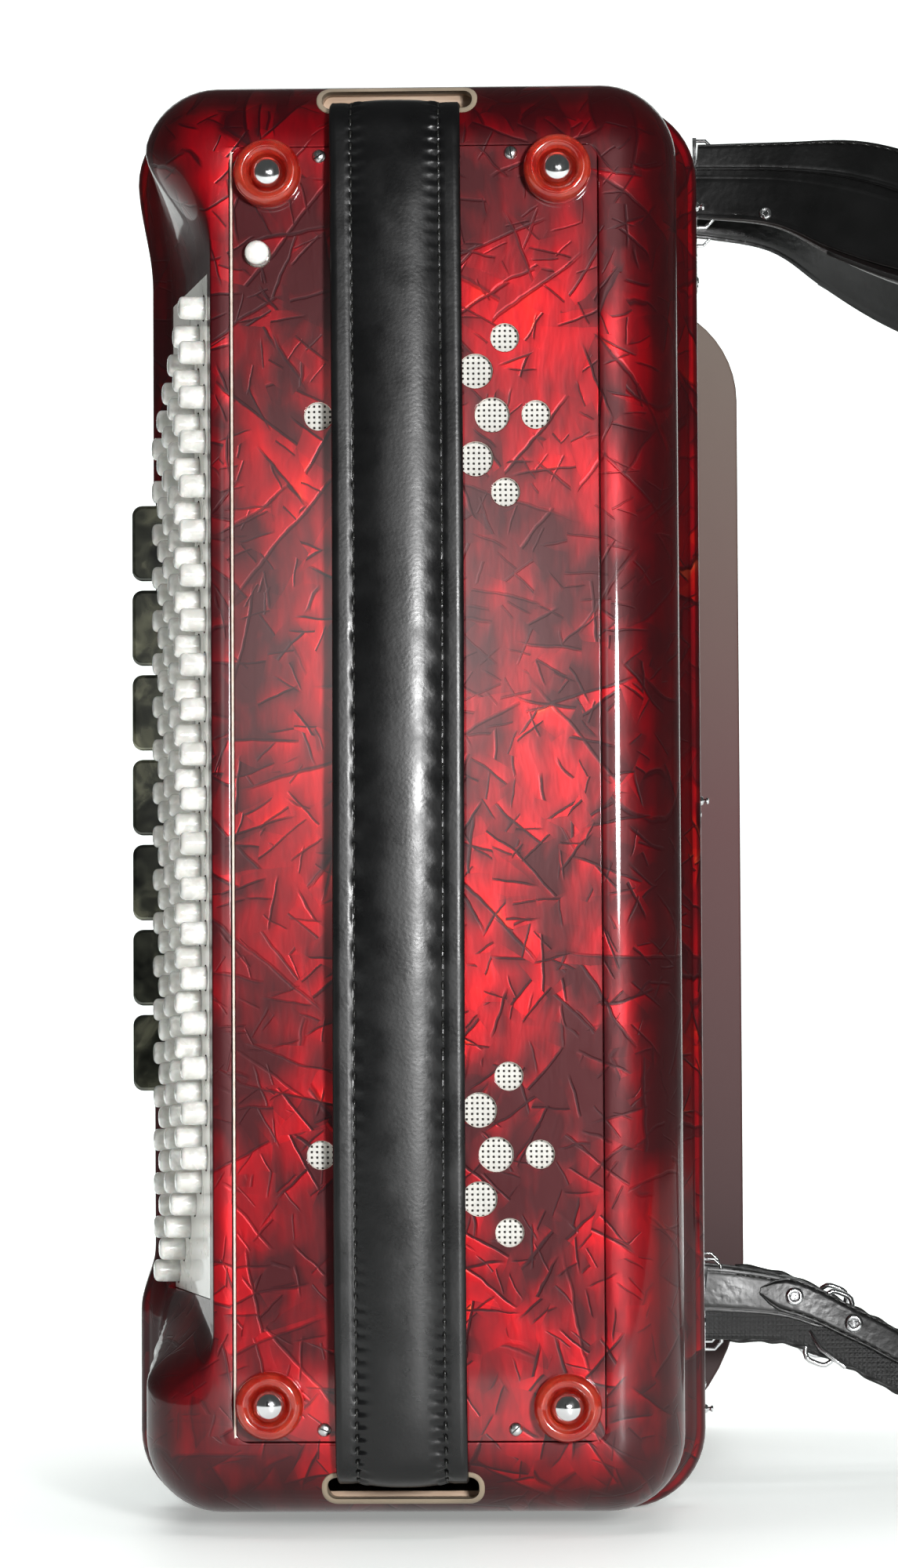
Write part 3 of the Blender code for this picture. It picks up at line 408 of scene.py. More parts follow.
def make_pearl_red(name, side_unshaded_share, gloss):
    """Pearl celluloid: silky clouds, partly its own clouding and partly painted sheen, crossed by straight folds,
    each dark along its line with painted shade on one side and a painted highlight on the other.

    The second argument is how much of the plain colour the sheet keeps where it turns away from the front and back;
    the rest is painted shade that darkens its rounded sides.
    """
    look = Look(name, (0.6, 0.02, 0.02), 0.34, Coat_Weight=gloss, Coat_Roughness=0.05, Specular_IOR_Level=0.25)
    broad = warped(look, 24, 0.010)
    fine = warped(look, 70, 0.0030)
    clouds = look.noise(23, 3, 0.55, look.stretch((1.0, 0.8, 0.6), broad, (0.3, 0.5, 0.2)))
    streaks = look.noise(120, 3, 0.6, look.stretch((1.0, 0.35, 0.25), broad, (0.2, -0.9, 0.4)))
    value = look.plus(look.times(clouds, 1.15), look.times(streaks, 0.40))
    value = look.plus(value, look.times(look.noise(8, 2, 0.6), 0.45))
    value = look.remap(value, 0.82, 1.38, kind="LINEAR")
    calm = look.remap(look.noise(13, 2), 0.36, 0.58, 0.35, 1.0)
    crack = None
    for scale, width, keep, strength, dark in FOLD_SETS:
        shifted = look.vector("ADD", fine, (scale * 0.7, scale * 0.31, 0.0))
        line, throw = folds(look, scale, shifted, width, keep)
        value = look.plus(value, look.times(look.times(throw, strength), calm))
        line = look.times(line, dark)
        crack = look.math("MAXIMUM", crack, line) if crack else line
    colour = look.mix(look.times(look.times(crack, calm), 0.95), look.ramp(value, PEARL_STOPS), FOLD_COLOUR)
    # Painted shade: faces turned away from the front and back are darkened towards a darker copy of the colour.
    facing = look.part(1, look.add("ShaderNodeTexCoord", out="Normal"))
    front = look.remap(look.math("ABSOLUTE", facing), 0.72, 1.0, kind="LINEAR")
    deep = look.mix(0.55, look.mix(0.80, colour, (0.0, 0.0, 0.0)), SIDE_SHADE_COLOUR)
    look.set(Base_Color=look.mix(look.math("MAXIMUM", front, side_unshaded_share), deep, colour),
             Roughness=look.remap(value, 0.0, 1.0, 0.44, 0.28, kind="LINEAR"),
             Metallic=look.remap(value, 0.1, 0.9, 0.30, 0.50, kind="LINEAR"),
             Normal=look.bump(look.math("SUBTRACT", value, look.times(crack, 0.4)), 0.25, 0.0008))
    return look.made


def make_leather(name, colour, roughness, grain, depth, gloss=0.5):
    """Grained leather, or another rough matt surface. depth is in metres."""
    look = Look(name, colour, roughness, Specular_IOR_Level=gloss)
    pebbles = look.add("ShaderNodeTexVoronoi", "Distance", {"feature": "SMOOTH_F1"}, Vector=look.place,
                       Scale=grain * 1.4)
    wear = look.noise(55, 4, 0.6)
    look.set(Base_Color=look.mix(wear, shade(colour, 0.75), shade(colour, 1.5)),
             Roughness=look.remap(wear, 0.3, 0.7, roughness - 0.05, roughness + 0.09),
             Normal=look.bump(look.plus(pebbles, look.times(look.noise(grain * 3.0, 3), 0.5)), 0.7, depth))
    return look.made


def make_pearl_white(name, base, bright, roughness, scale):
    """Mother-of-pearl plastic with slow milky swirls."""
    look = Look(name, base, roughness, Coat_Weight=0.8, Coat_Roughness=0.06, Subsurface_Weight=0.12,
                Subsurface_Scale=0.003)
    swirl = look.noise(scale, 3, 0.55, warped(look, scale * 0.6, 0.010))
    look.set(Base_Color=look.mix(look.remap(swirl, 0.35, 0.68), base, bright),
             Roughness=look.remap(swirl, 0.3, 0.7, roughness - 0.04, roughness + 0.08),
             Normal=look.bump(swirl, 0.05, 0.0006))
    return look.made


def make_metal(name, colour, roughness, grain=900.0):
    """Brushed or polished metal with fine marks along the part's height."""
    look = Look(name, colour, roughness, 1.0)
    fine = look.noise(grain, 3, 0.6, look.stretch((1, 1, 0.25)))
    look.set(Base_Color=look.mix(fine, shade(colour, 0.93), shade(colour, 1.05)),
             Roughness=look.remap(fine, 0.3, 0.7, roughness * 0.7, roughness * 1.5),
             Normal=look.bump(fine, 0.03, 0.0002))
    return look.made


def make_dark_mirror():
    """Smoked pearl of the register tabs, nearly black with greenish clouds."""
    look = Look("dark_mirror", (0.05, 0.055, 0.04), 0.10, 0.6, Coat_Weight=1.0, Coat_Roughness=0.03)
    swirl = look.noise(60, 3, 0.6, warped(look, 40, 0.03))
    look.set(Base_Color=look.ramp(swirl, ((0.36, (0.010, 0.012, 0.009)), (0.52, (0.050, 0.054, 0.038)),
                                          (0.68, (0.22, 0.22, 0.15)))),
             Roughness=look.remap(swirl, 0.3, 0.7, 0.08, 0.22))
    return look.made


def make_wood(name, light, dark, roughness=0.55, along=(1, 1, 0.06)):
    """Bare wood; along squeezes the axis that the grain follows."""
    look = Look(name, light, roughness)
    rings = look.noise(180, 4, 0.65, look.stretch(along, warped(look, 12, 0.010)))
    pores = look.noise(1500, 2, 0.5, look.stretch(along))
    look.set(Base_Color=look.mix(look.remap(rings, 0.32, 0.68), light, dark),
             Roughness=look.remap(pores, 0.3, 0.7, roughness, roughness + 0.15),
             Normal=look.bump(look.plus(rings, pores), 0.25, 0.0002))
    return look.made


def make_glossy(name, colour, roughness, second=None, scale=40.0, coat=1.0):
    """A lacquered or moulded surface with faint wear and unevenness."""
    look = Look(name, colour, roughness, Coat_Weight=coat, Coat_Roughness=0.04)
    haze = look.noise(scale, 4, 0.6)
    look.set(Base_Color=look.mix(look.remap(haze, 0.3, 0.7), colour, second or shade(colour, 1.25)),
             Roughness=look.remap(haze, 0.3, 0.7, roughness * 0.85, roughness * 1.4),
             Normal=look.bump(look.plus(haze, look.times(look.noise(2200, 2), 0.1)), 0.04, 0.0005))
    return look.made


def make_weave(name, thread, hole, pitch, open_share=0.25, roughness=0.8):
    """A woven mesh in X and Z: threads over and under, with a small hole at each crossing of the gaps, where the
    hole colour is painted shade seen through the mesh.
    """
    look = Look(name, thread, roughness, Sheen_Weight=0.2)
    bent = warped(look, 120, 0.0004)
    waves = [look.math("SINE", look.times(look.part(axis, bent), 2 * math.pi / pitch)) for axis in (0, 2)]
    fibres = [look.math("SINE", look.times(look.part(axis, look.place), 8 * math.pi / pitch)) for axis in (0, 2)]
    gap = look.times(*[look.remap(wave, 1 - 2 * open_share, 1.0) for wave in waves])
    height = look.math("SUBTRACT", look.times(look.plus(*fibres), 0.25), look.math("MAXIMUM", *waves))
    shaded = look.mix(look.noise(400, 2), shade(thread, 0.80), thread)
    look.set(Base_Color=look.mix(look.remap(gap, 0.10, 0.40), shaded, hole),
             Normal=look.bump(height, 0.5, pitch * 0.10))
    return look.made


def make_foot():
    """Clear red plastic."""
    look = Look("foot_plastic", (0.70, 0.03, 0.015), 0.10, Transmission_Weight=0.72, IOR=1.47, Coat_Weight=0.5,
                Coat_Roughness=0.04)
    swirl = look.noise(120, 3, 0.6)
    look.set(Base_Color=look.mix(look.remap(swirl, 0.3, 0.7), (0.62, 0.022, 0.016), (0.90, 0.10, 0.045)),
             Roughness=look.remap(swirl, 0.3, 0.7, 0.08, 0.18))
    return look.made


def make_lacquer():
    """Dark lacquer with a painted reflection: faces turned towards the bass end take a pale taupe that stands in
    for the reflected white surroundings, brightest near the top, and a higher roughness there.
    """
    look = Look("fingerboard_lacquer", (0.05, 0.012, 0.014), 0.16, Specular_IOR_Level=0.45)
    side = look.part(1, look.add("ShaderNodeTexCoord", out="Normal"))
    haze = look.noise(18, 4, 0.6)
    # Painted reflection of the pale surroundings: a taupe that brightens towards the top.
    reflected_taupe = look.ramp(look.remap(look.part(2, look.place), 0.02, 0.44, kind="LINEAR"), (
        (0.0, (0.032, 0.014, 0.014)), (0.55, (0.105, 0.044, 0.044)), (1.0, (0.15, 0.115, 0.095))))
    dark = look.mix(look.remap(haze, 0.3, 0.7), (0.045, 0.010, 0.012), (0.085, 0.022, 0.022))
    # Mask of the painted reflection: faces turned towards the bass end.
    painted_reflection_mask = look.remap(side, -0.45, -0.75)
    look.set(Base_Color=look.mix(painted_reflection_mask, dark, reflected_taupe), Normal=look.bump(haze, 0.04, 0.0005),
             Roughness=look.math("MAXIMUM", look.remap(haze, 0.3, 0.7, 0.10, 0.20), look.times(painted_reflection_mask, 0.62)))
    return look.made


PEARL_RED = make_pearl_red("pearl_red", 1.0, 0.8)
# The casing shells' pearl, with painted shade on its sides.
SIDE_SHADED_RED = make_pearl_red("pearl_red_side_shaded", 0.10, 0.45)
LEATHER = make_leather("black_leather", (0.0032, 0.0032, 0.0034), 0.30, 620.0, 0.000035, 0.42)
LEATHER_EDGE = make_leather("leather_edge", (0.008, 0.0078, 0.0075), 0.5, 1500.0, 0.000021)
STRAP_LEATHER = make_leather("strap_leather_grain", (0.0034, 0.0034, 0.0034), 0.32, 300.0, 0.00014)
THREAD = make_leather("waxed_thread", (0.012, 0.012, 0.011), 0.30, 4200.0, 0.0000105)
VALVE_PAD = make_leather("valve_leather", (0.42, 0.26, 0.14), 0.75, 1100.0, 0.000042)
BELLOWS_TAPE = make_leather("bellows_tape", (0.012, 0.011, 0.011), 0.30, 1300.0, 0.000021)
LIP = make_leather("bare_lip", (0.24, 0.19, 0.135), 0.6, 900.0, 0.000035)
PEARL_WHITE = make_pearl_white("pearl_white", (0.58, 0.575, 0.54), (0.82, 0.815, 0.78), 0.22, 160.0)
KEY_WHITE = make_pearl_white("key_white", (0.84, 0.83, 0.79), (0.93, 0.92, 0.89), 0.16, 60.0)
KEY_BLACK = make_glossy("key_black", (0.008, 0.008, 0.009), 0.16)
BOARD_WHITE = make_glossy("board_white", (0.74, 0.73, 0.68), 0.28, (0.84, 0.83, 0.79), 50.0, 0.6)
CREAM = make_glossy("cream_edge", (0.70, 0.56, 0.47), 0.38, (0.86, 0.74, 0.66), 300.0, 0.3)
DARK_FRAME = make_glossy("frame_lacquer", (0.060, 0.004, 0.008), 0.22, (0.10, 0.008, 0.012), 30.0)
CHROME = make_metal("chrome", (0.78, 0.78, 0.79), 0.13)
STEEL = make_metal("brushed_steel", (0.60, 0.60, 0.60), 0.28)
BRASS = make_metal("brass", (0.72, 0.52, 0.25), 0.26)
ALUMINIUM = make_metal("aluminium", (0.70, 0.71, 0.72), 0.33, 600.0)
DARK_MIRROR = make_dark_mirror()
FOOT = make_foot()
LACQUER = make_lacquer()
RAW_WOOD = make_wood("raw_wood", (0.66, 0.52, 0.40), (0.47, 0.33, 0.23), 0.6, (0.06, 1, 1))
REED_WOOD = make_wood("reed_wood", (0.62, 0.45, 0.28), (0.42, 0.27, 0.14))
# The second colour of each weave is the painted shade in its holes.
COVER_MESH = make_weave("cover_mesh", (0.66, 0.655, 0.62), (0.012, 0.008, 0.007), 0.0018, 0.62)
GRILLE_CLOTH = make_weave("grille_cloth", (0.012, 0.010, 0.010), (0.002, 0.002, 0.002), 0.0015)
STRAP_MESH = make_weave("strap_mesh", (0.006, 0.006, 0.006), (0.0005, 0.0005, 0.0005), 0.0017, 0.45, 0.42)
BELLOWS_CLOTH = make_weave("bellows_cloth", (0.075, 0.006, 0.010), (0.035, 0.002, 0.004), 0.0011, 0.2, 0.6)


# ---------------------------------------------------------------- bass casing

def front_shares():
    """Shares of the front side that get a point, close together where the scoop begins and ends."""
    heights = [0.0360 + 0.0018 * k for k in range(36)] + [0.106 + 0.012 * k for k in range(27)]
    heights += [0.4280 + 0.0018 * k for k in range(21)]
    start = BODY[2] + BODY_RADIUS
    return [(z - start) / (BODY[3] - BODY_RADIUS - start) for z in sorted(heights)]


FRONT = front_shares()
SCOOP_SIDE_X = -0.055   # the scoop for the buttons reaches in to here
# The casing's outside from its rim to its body: depth, and 1 for the rim's size down to 0 for the body's
RIM_SHAPE = ((0.1080, 0.82), (0.1077, 0.90), (0.1070, 0.97), (0.1058, 1.0), (0.0985, 1.0), (0.0970, 0.985),
             (0.0957, 0.94), (0.0947, 0.86), (0.0941, 0.76), (0.0938, 0.64), (0.0934, 0.60), (0.0925, 0.55),
             (0.0912, 0.42), (0.0900, 0.28), (0.0886, 0.15), (0.0870, 0.06), (0.0850, 0.015), (0.0830, 0.0),
             (0.0700, 0.0), (0.0500, 0.0), (0.0350, 0.0), (0.0270, 0.0))
# The recess for the cover, and the casing's inside: how far in, and depth
RECESS = ((-0.0004, 0.0), (-0.0001, 0.0001), (0.0, 0.0004), (0.0, PANEL_THICK + GAP), (0.005, PANEL_THICK + GAP),
          (0.005, 0.0055))
INSIDE = ((0.022, 0.0056), (0.012, 0.012), (WALL, 0.026), (WALL, 0.088), (WALL, 0.0955), (WALL, 0.108))


def board_x(depth):
    """X of the button board, which leans outwards towards the bellows."""
    return BOARD_X - BOARD_SLOPE * (depth - FIRST_DEPTH)


def scoop_x(depth):
    """X of the scoop's floor: the board's plane with a soft front edge, then out to the rim's waist."""
    deep = smooth_step(depth, 0.0870, 0.0945)
    edge = 0.0006
    soft = edge - math.sqrt(edge ** 2 - (edge - depth) ** 2) if depth < edge else 0.0
    return board_x(depth) + soft + deep * (RIM_WAIST_X - board_x(depth))


def scooped(ring, depth, wall=0.0):
    """Pulls a ring's front side in to the scoop between its rise at the bottom and its fall at the top."""
    low = 0.051 + 0.28 * depth
    moved = []
    for x, y, z in ring:
        if x < SCOOP_SIDE_X:
            share = smooth_step(z, low - 0.008, low + 0.016) * (1 - smooth_step(z, 0.433, 0.474))
            x += share * (max(x, scoop_x(depth) + wall) - x)
        moved.append((x, y, z))
    return moved


def casing_ring(box, radius, depth, wall=0.0):
    return scooped(ring_at(box, radius, FACE_Y + depth, 12, FRONT), depth, wall)


def slot_box(low, high, grow=0.0):
    return (STRAP_X - SLOT_HALF_W - grow, STRAP_X + SLOT_HALF_W + grow, low - grow, high + grow)


def bass_casing():
    rings = []
    for depth, share in RIM_SHAPE:
        radius = BODY_RADIUS + share * (RIM_RADIUS - BODY_RADIUS)
        rings.append(casing_ring(between(BODY, RIM, share), radius, depth))
    for x, y in arc((0.0, 0.0), (1.0, 1.0), 0, 90, 16):
        back = EDGE_ROUND * (1 - x)
        rings.append(casing_ring(inset(BODY, back), max(BODY_RADIUS - back, 0.006), EDGE_ROUND * (1 - y)))
    for gap, depth in RECESS:
        rings.append(casing_ring(inset(PANEL, gap - GAP), PANEL_RADIUS, depth))
    for gap, depth in INSIDE:
        rings.append(casing_ring(inset(BODY, gap), BODY_RADIUS - min(gap, 0.018), depth, 0.0045))
    maker = bmesh.new()
    skin(maker, rings, closed=True)
    shell = finish("bass_shell", maker, SIDE_SHADED_RED)
    cutters = []
    for name, (low, high) in zip(("upper", "lower"), STRAP_SLOTS):
        maker = bmesh.new()
        skin(maker, [ring_at(slot_box(low, high), 0.0035, y, 6) for y in (-0.262, -0.226)])
        cutters.append(finish(name + "_slot", maker, RAW_WOOD))
    maker = bmesh.new()
    depths = (BOARD_DEPTH[0] - GAP, BOARD_DEPTH[1] + GAP)
    window = [board_point(depths[a], out, BOARD_Z[0] - GAP)
              for a, out in ((0, -0.012), (1, -0.012), (1, 0.012), (0, 0.012))]
    slab(maker, window, (0, 0, BOARD_Z[1] - BOARD_Z[0] + 2 * GAP))
    cutters.append(finish("window", maker, PEARL_RED))
    maker = bmesh.new()
    half = 3.5 * REGISTER_PITCH
    block(maker, (-0.110, -0.1610, REGISTER_Z - half), (-0.0810, -0.1465, REGISTER_Z + half))
    for low, high in ((-0.001, 0.004), (0.496, 0.501)):   # notches for the bellows straps
        block(maker, (-0.0185, -0.1525, low), (0.0185, -0.140, high))
    rod(maker, 0.0033, 0.02, (STRAP_X, ADJUSTER_Y, 0.480), (0, 0, 1), 24)
    cutters.append(finish("openings", maker, DARK_FRAME))
    carve(shell, cutters)
    settle(shell, "bass", ["bass_casing"])
    slot_lips()


def rounding_y(z, lift=0.0):
    """Y of the front face's rounding at a height near the top or the bottom end."""
    into = min(max(min(z - BODY[2], BODY[3] - z), 0.0), EDGE_ROUND)
    return FACE_Y + EDGE_ROUND - math.sqrt(EDGE_ROUND ** 2 - (EDGE_ROUND - into) ** 2) - lift


def slot_lips():
    """Bare wood and glue showing round each opening for the hand strap."""
    maker = bmesh.new()
    profile = ((-0.0004, -0.0060), (-0.0004, 0.0001), (0.0003, 0.0004), (0.0011, 0.0004), (0.0015, -0.0002),
               (0.0015, -0.0030))
    for low, high in STRAP_SLOTS:
        skin(maker, [[(x, rounding_y(z, lift), z)
                      for x, z in outline_points(slot_box(low, high, grow), 0.0037 + grow, 8)]
                     for grow, lift in profile], closed=True)
    finish("strap_slot_lips", maker, LIP, "bass", sharp=60)


def board_point(depth, out, z):
    """A point at a height out of the board's face."""
    slant = math.hypot(1.0, BOARD_SLOPE)
    return (board_x(depth) - out / slant, FACE_Y + depth - out * BOARD_SLOPE / slant, z)


def button_place(row, button):
    """Depth and Z of a button; the rows are staggered."""
    return FIRST_DEPTH + ROW_PITCH * row, FIRST_Z - ROW_STEP_Z * row - BUTTON_PITCH * button


DISHED_BUTTONS = (3, 8, 12)   # the buttons of the bass row that fingers find by their hollow tops


def button_side():
    outward = Vector(board_point(0.03, 1.0, 0)) - Vector(board_point(0.03, 0.0, 0))
    maker = bmesh.new()
    first, last = BOARD_DEPTH
    outline = [board_point(depth, out, BOARD_Z[0])
               for depth, out in ((first, -BOARD_THICK), (last, -BOARD_THICK), (last, 0.0), (first, 0.0))]
    slab(maker, outline, (0, 0, BOARD_Z[1] - BOARD_Z[0]))
    board = finish("button_plate", maker, BOARD_WHITE)
    maker = bmesh.new()
    for row in range(6):
        for button in range(20):
            depth, z = button_place(row, button)
            rod(maker, 0.0046, 0.012, board_point(depth, -0.006, z), outward, 20)
    carve(board, [finish("button_holes", maker, DARK_FRAME)])
    settle(board, "bass", ["button_board"])
    profile = [(0.0, -0.0050), (0.0040, -0.0050), (0.00402, 0.0020), (0.00396, 0.0060)]
    profile += arc((0.0020, 0.0070), (0.00192, 0.0016), 0, 90, 6)
    dished = profile + [(0.0012, 0.00855), (0.0, 0.0084)]
    profile.append((0.0, 0.00878))
    for row, name in enumerate(ROWS):
        maker = bmesh.new()
        depth, high = button_place(row, 0)
        low = button_place(row, 19)[1]
        rail = [board_point(depth + 0.0027 * a, out, low - 0.003)
                for a, out in ((-1, -0.0065), (1, -0.0065), (1, -0.0033), (-1, -0.0033))]
        slab(maker, rail, (0, 0, high - low + 0.006), look=1)
        for button in range(20):
            z = button_place(row, button)[1]
            top = dished if name == "bass" and button in DISHED_BUTTONS else profile
            lathe(maker, top, board_point(depth, 0.0, z), outward, 26)
        finish(name + "_knobs", maker, [PEARL_WHITE, ALUMINIUM], name + "_buttons", [name + "_buttons"],
               50)


def cover():
    """The cover sheet with its sound holes and bare edge, and the cloth behind the holes."""
    trim = 0.0008
    box = (PANEL[0] + trim + 0.0001, PANEL[1], PANEL[2], PANEL[3])
    maker = bmesh.new()
    skin(maker, [ring_at(box, PANEL_RADIUS * 0.5, FACE_Y + depth, 6) for depth in (0.0, PANEL_THICK)])
    plate = finish("cover_sheet", maker, PEARL_RED)
    maker = bmesh.new()
    for group_z in GROUP_HEIGHTS:
        for radius, across, up in SOUND_HOLES:
            for x in (GROUP_X - across, GROUP_X + across):
                for z in sorted({group_z - up, group_z + up}):
                    rod(maker, radius, 0.006, (x, FACE_Y - 0.002, z), (0, 1, 0), 36)
    rod(maker, 0.0043, 0.006, (AIR_BUTTON[0], FACE_Y - 0.002, AIR_BUTTON[1]), (0, 1, 0), 32)
    carve(plate, [finish("cover_holes", maker, CREAM)])
    settle(plate, "bass", ["bass_cover_plate"])
    round_edges(plate, 0.00035, 2, 40)
    maker = bmesh.new()
    block(maker, (PANEL[0], FACE_Y - 0.0001, PANEL[2] + 0.001),
          (PANEL[0] + trim, FACE_Y + PANEL_THICK, PANEL[3] - 0.001))
    edge = finish("cover_bare_edge", maker, CREAM, "bass")
    round_edges(edge, 0.0004, 2)
    for name, z in zip(("upper", "lower"), GROUP_HEIGHTS):
        back = FACE_Y + PANEL_THICK + GAP
        maker = bmesh.new()
        border = [(-0.040 + 0.090 * k / 40, z - 0.036) for k in range(41)]
        border += [(0.050 - 0.090 * k / 40, z + 0.036) for k in range(41)]
        skin(maker, [[(x, y + 0.00005 * math.sin(900 * x), height) for x, height in border]
                     for y in (back, back + 0.0006)])
        cloth = finish("sound_cloth_" + name, maker, COVER_MESH, "bass", ["bass_cover_mesh_" + name])


def screw(maker, at, direction, radius, turn):
    """A domed screw head, with the piece's second material in its slot."""
    profile = [(0.0, -0.001), (radius, -0.001), (radius, radius * 0.18), (radius * 0.86, radius * 0.42),
               (radius * 0.55, radius * 0.60), (0.0, radius * 0.66)]
    lathe(maker, profile, at, direction, 24)
    axes = frame_along(direction)
    along = axes @ Vector((math.cos(turn), math.sin(turn), 0))
    across = axes @ Vector((-math.sin(turn), math.cos(turn), 0))
    up = axes @ Vector((0, 0, 1))
    base = Vector(at) + up * radius * 0.30
    corners = [base + along * radius * 0.86 * a + across * radius * 0.11 * b
               for a, b in ((-1, -1), (1, -1), (1, 1), (-1, 1))]
    slab(maker, corners, up * radius * 0.375, 1)


def end_fittings():
    """Feet, screws, the air button and its valve."""
    for index, (x, z) in enumerate(FEET):
        maker = bmesh.new()
        profile = [(0.0, 0.0), (0.0113, 0.0), (0.0115, 0.0006)]
        profile += arc((0.0088, 0.0058), (0.0027, 0.0045), 15, 150, 8)
        profile += [(0.0058, 0.0046), (0.0050, 0.0042), (0.0, 0.0042)]
        lathe(maker, profile, (x, FACE_Y - GAP, z), (0, -1, 0), 48)
        finish(f"foot_ring_{index + 1}", maker, FOOT, "bass", [f"bumper_foot_{index + 1}"], 60)
        maker = bmesh.new()
        dome = [(0.0, 0.0040), (0.0056, 0.0040)] + arc((0.0, 0.0066), (0.0056, 0.0046), 0, 90, 8)[:-1]
        dome.append((0.0, 0.0112))
        lathe(maker, dome, (x, FACE_Y - GAP, z), (0, -1, 0), 32)
        finish(f"foot_dome_{index + 1}", maker, CHROME, "bass", sharp=60)
    maker = bmesh.new()
    for k, (x, z) in enumerate(((-0.0298, 0.4652), (0.0352, 0.4658), (-0.0298, 0.0355), (0.0345, 0.0355))):
        screw(maker, (x, FACE_Y - 0.0001, z), (0, -1, 0), 0.0023, 0.6 + 1.1 * k)
    finish("cover_screws", maker, [STEEL, KEY_BLACK], "bass")
    maker = bmesh.new()
    profile = [(0.0, 0.0), (0.0041, 0.0)] + arc((0.0024, 0.0105), (0.0017, 0.0017), 0, 90, 6) + [(0.0, 0.0124)]
    lathe(maker, profile, (AIR_BUTTON[0], FACE_Y + 0.006, AIR_BUTTON[1]), (0, -1, 0), 32)
    finish("air_knob", maker, PEARL_WHITE, "air_button", ["air_button"], 50)
    maker = bmesh.new()
    block(maker, (-0.036, -0.1525, 0.4335), (-0.006, -0.1508, 0.4660), 0)
    block(maker, (-0.036, -0.1545, 0.4335), (-0.006, -0.1526, 0.4660), 1)
    valve = finish("air_pallet", maker, [VALVE_PAD, REED_WOOD], "air_valve", ["air_valve"])
    round_edges(valve, 0.0004, 2)


def adjuster():
    """The knurled wheel that tightens the hand strap."""
    top = BODY[3] + GAP
    maker = bmesh.new()
    rings = []
    for radius, height, tooth in ((0.0084, 0.0, 0), (0.0090, 0.0004, 1), (0.0090, 0.0028, 1),
                                  (0.0083, 0.0035, 0), (0.0074, 0.0038, 0), (0.0066, 0.0034, 0),
                                  (0.0030, 0.0034, 0), (0.0026, 0.0039, 0)):
        reach = [radius - 0.0005 * tooth * (k % 2) for k in range(72)]
        rings.append([(STRAP_X + r * c, ADJUSTER_Y + r * s, top + height) for r, (c, s) in zip(reach, circle(72))])
    skin(maker, rings)
    rod(maker, 0.003, top - 0.4820, (STRAP_X, ADJUSTER_Y, 0.4820), (0, 0, 1), 20)
    finish("adjuster_knob", maker, STEEL, "strap_adjuster_wheel", ["strap_adjuster_wheel"], 30)


def registers():
    for index in range(7):
        z = REGISTER_Z + REGISTER_PITCH * (3 - index)
        maker = bmesh.new()
        half, r = 0.0135, 0.0036
        outline = [(-0.0890, z - half), (-0.0890, z + half)]
        for centre_z, start in ((z + half - r, 90), (z - half + r, 180)):
            outline += arc((-0.1020 + r, centre_z), (r, r), start, 90, 6)
        slab(maker, [(x, -0.1600, height) for x, height in outline], (0, 0.0125, 0))
        tab = finish(f"register_tab_{index + 1}", maker, DARK_MIRROR, f"bass_register_{index + 1}",
                     [f"bass_register_{index + 1}"])
        round_edges(tab, 0.0013, 4)


# ---------------------------------------------------------------- hand strap

STRAP_PATH = ((-0.2330, 0.4848), (-0.2480, 0.4840), (-0.2560, 0.4790), (-0.2592, 0.4690), (-0.2615, 0.4450),
              (-0.2640, 0.3700), (-0.2655, 0.2500), (-0.2640, 0.1300), (-0.2615, 0.0550), (-0.2592, 0.0310),
              (-0.2560, 0.0215), (-0.2480, 0.0172), (-0.2330, 0.0164))


STRAP_LENGTH, STITCH_PITCH, SEAM_X, EDGE_TOP = 0.52, 0.0043, 0.0148, 0.0018


def strap_section():
    """Places across the strap and the height of its top over its base at each: flat edges and a stuffed middle."""
    half = STRAP_HALF_W
    places = [-half, -half + 0.0003, -half + 0.0008, -0.0195, -0.0172, -0.0156, -0.0150, -0.0144, -0.0136, -0.0124]
    places += [-0.0110 + 0.0022 * k for k in range(11)]
    places += [-p for p in reversed(places[:10])]
    tops = []
    for x in places:
        a = abs(x)
        if a > half - 0.0001:
            top = 0.0007
        elif a > half - 0.0005:
            top = 0.0013
        elif a > 0.0160:
            top = EDGE_TOP
        elif a > 0.0147:
            top = EDGE_TOP - 0.0005 * smooth_step(0.0160 - a, 0.0, 0.0010)
        else:
            top = 0.0013 + 0.0029 * (1 - (a / 0.0149) ** 2.6)
        tops.append(top)
    return places, tops


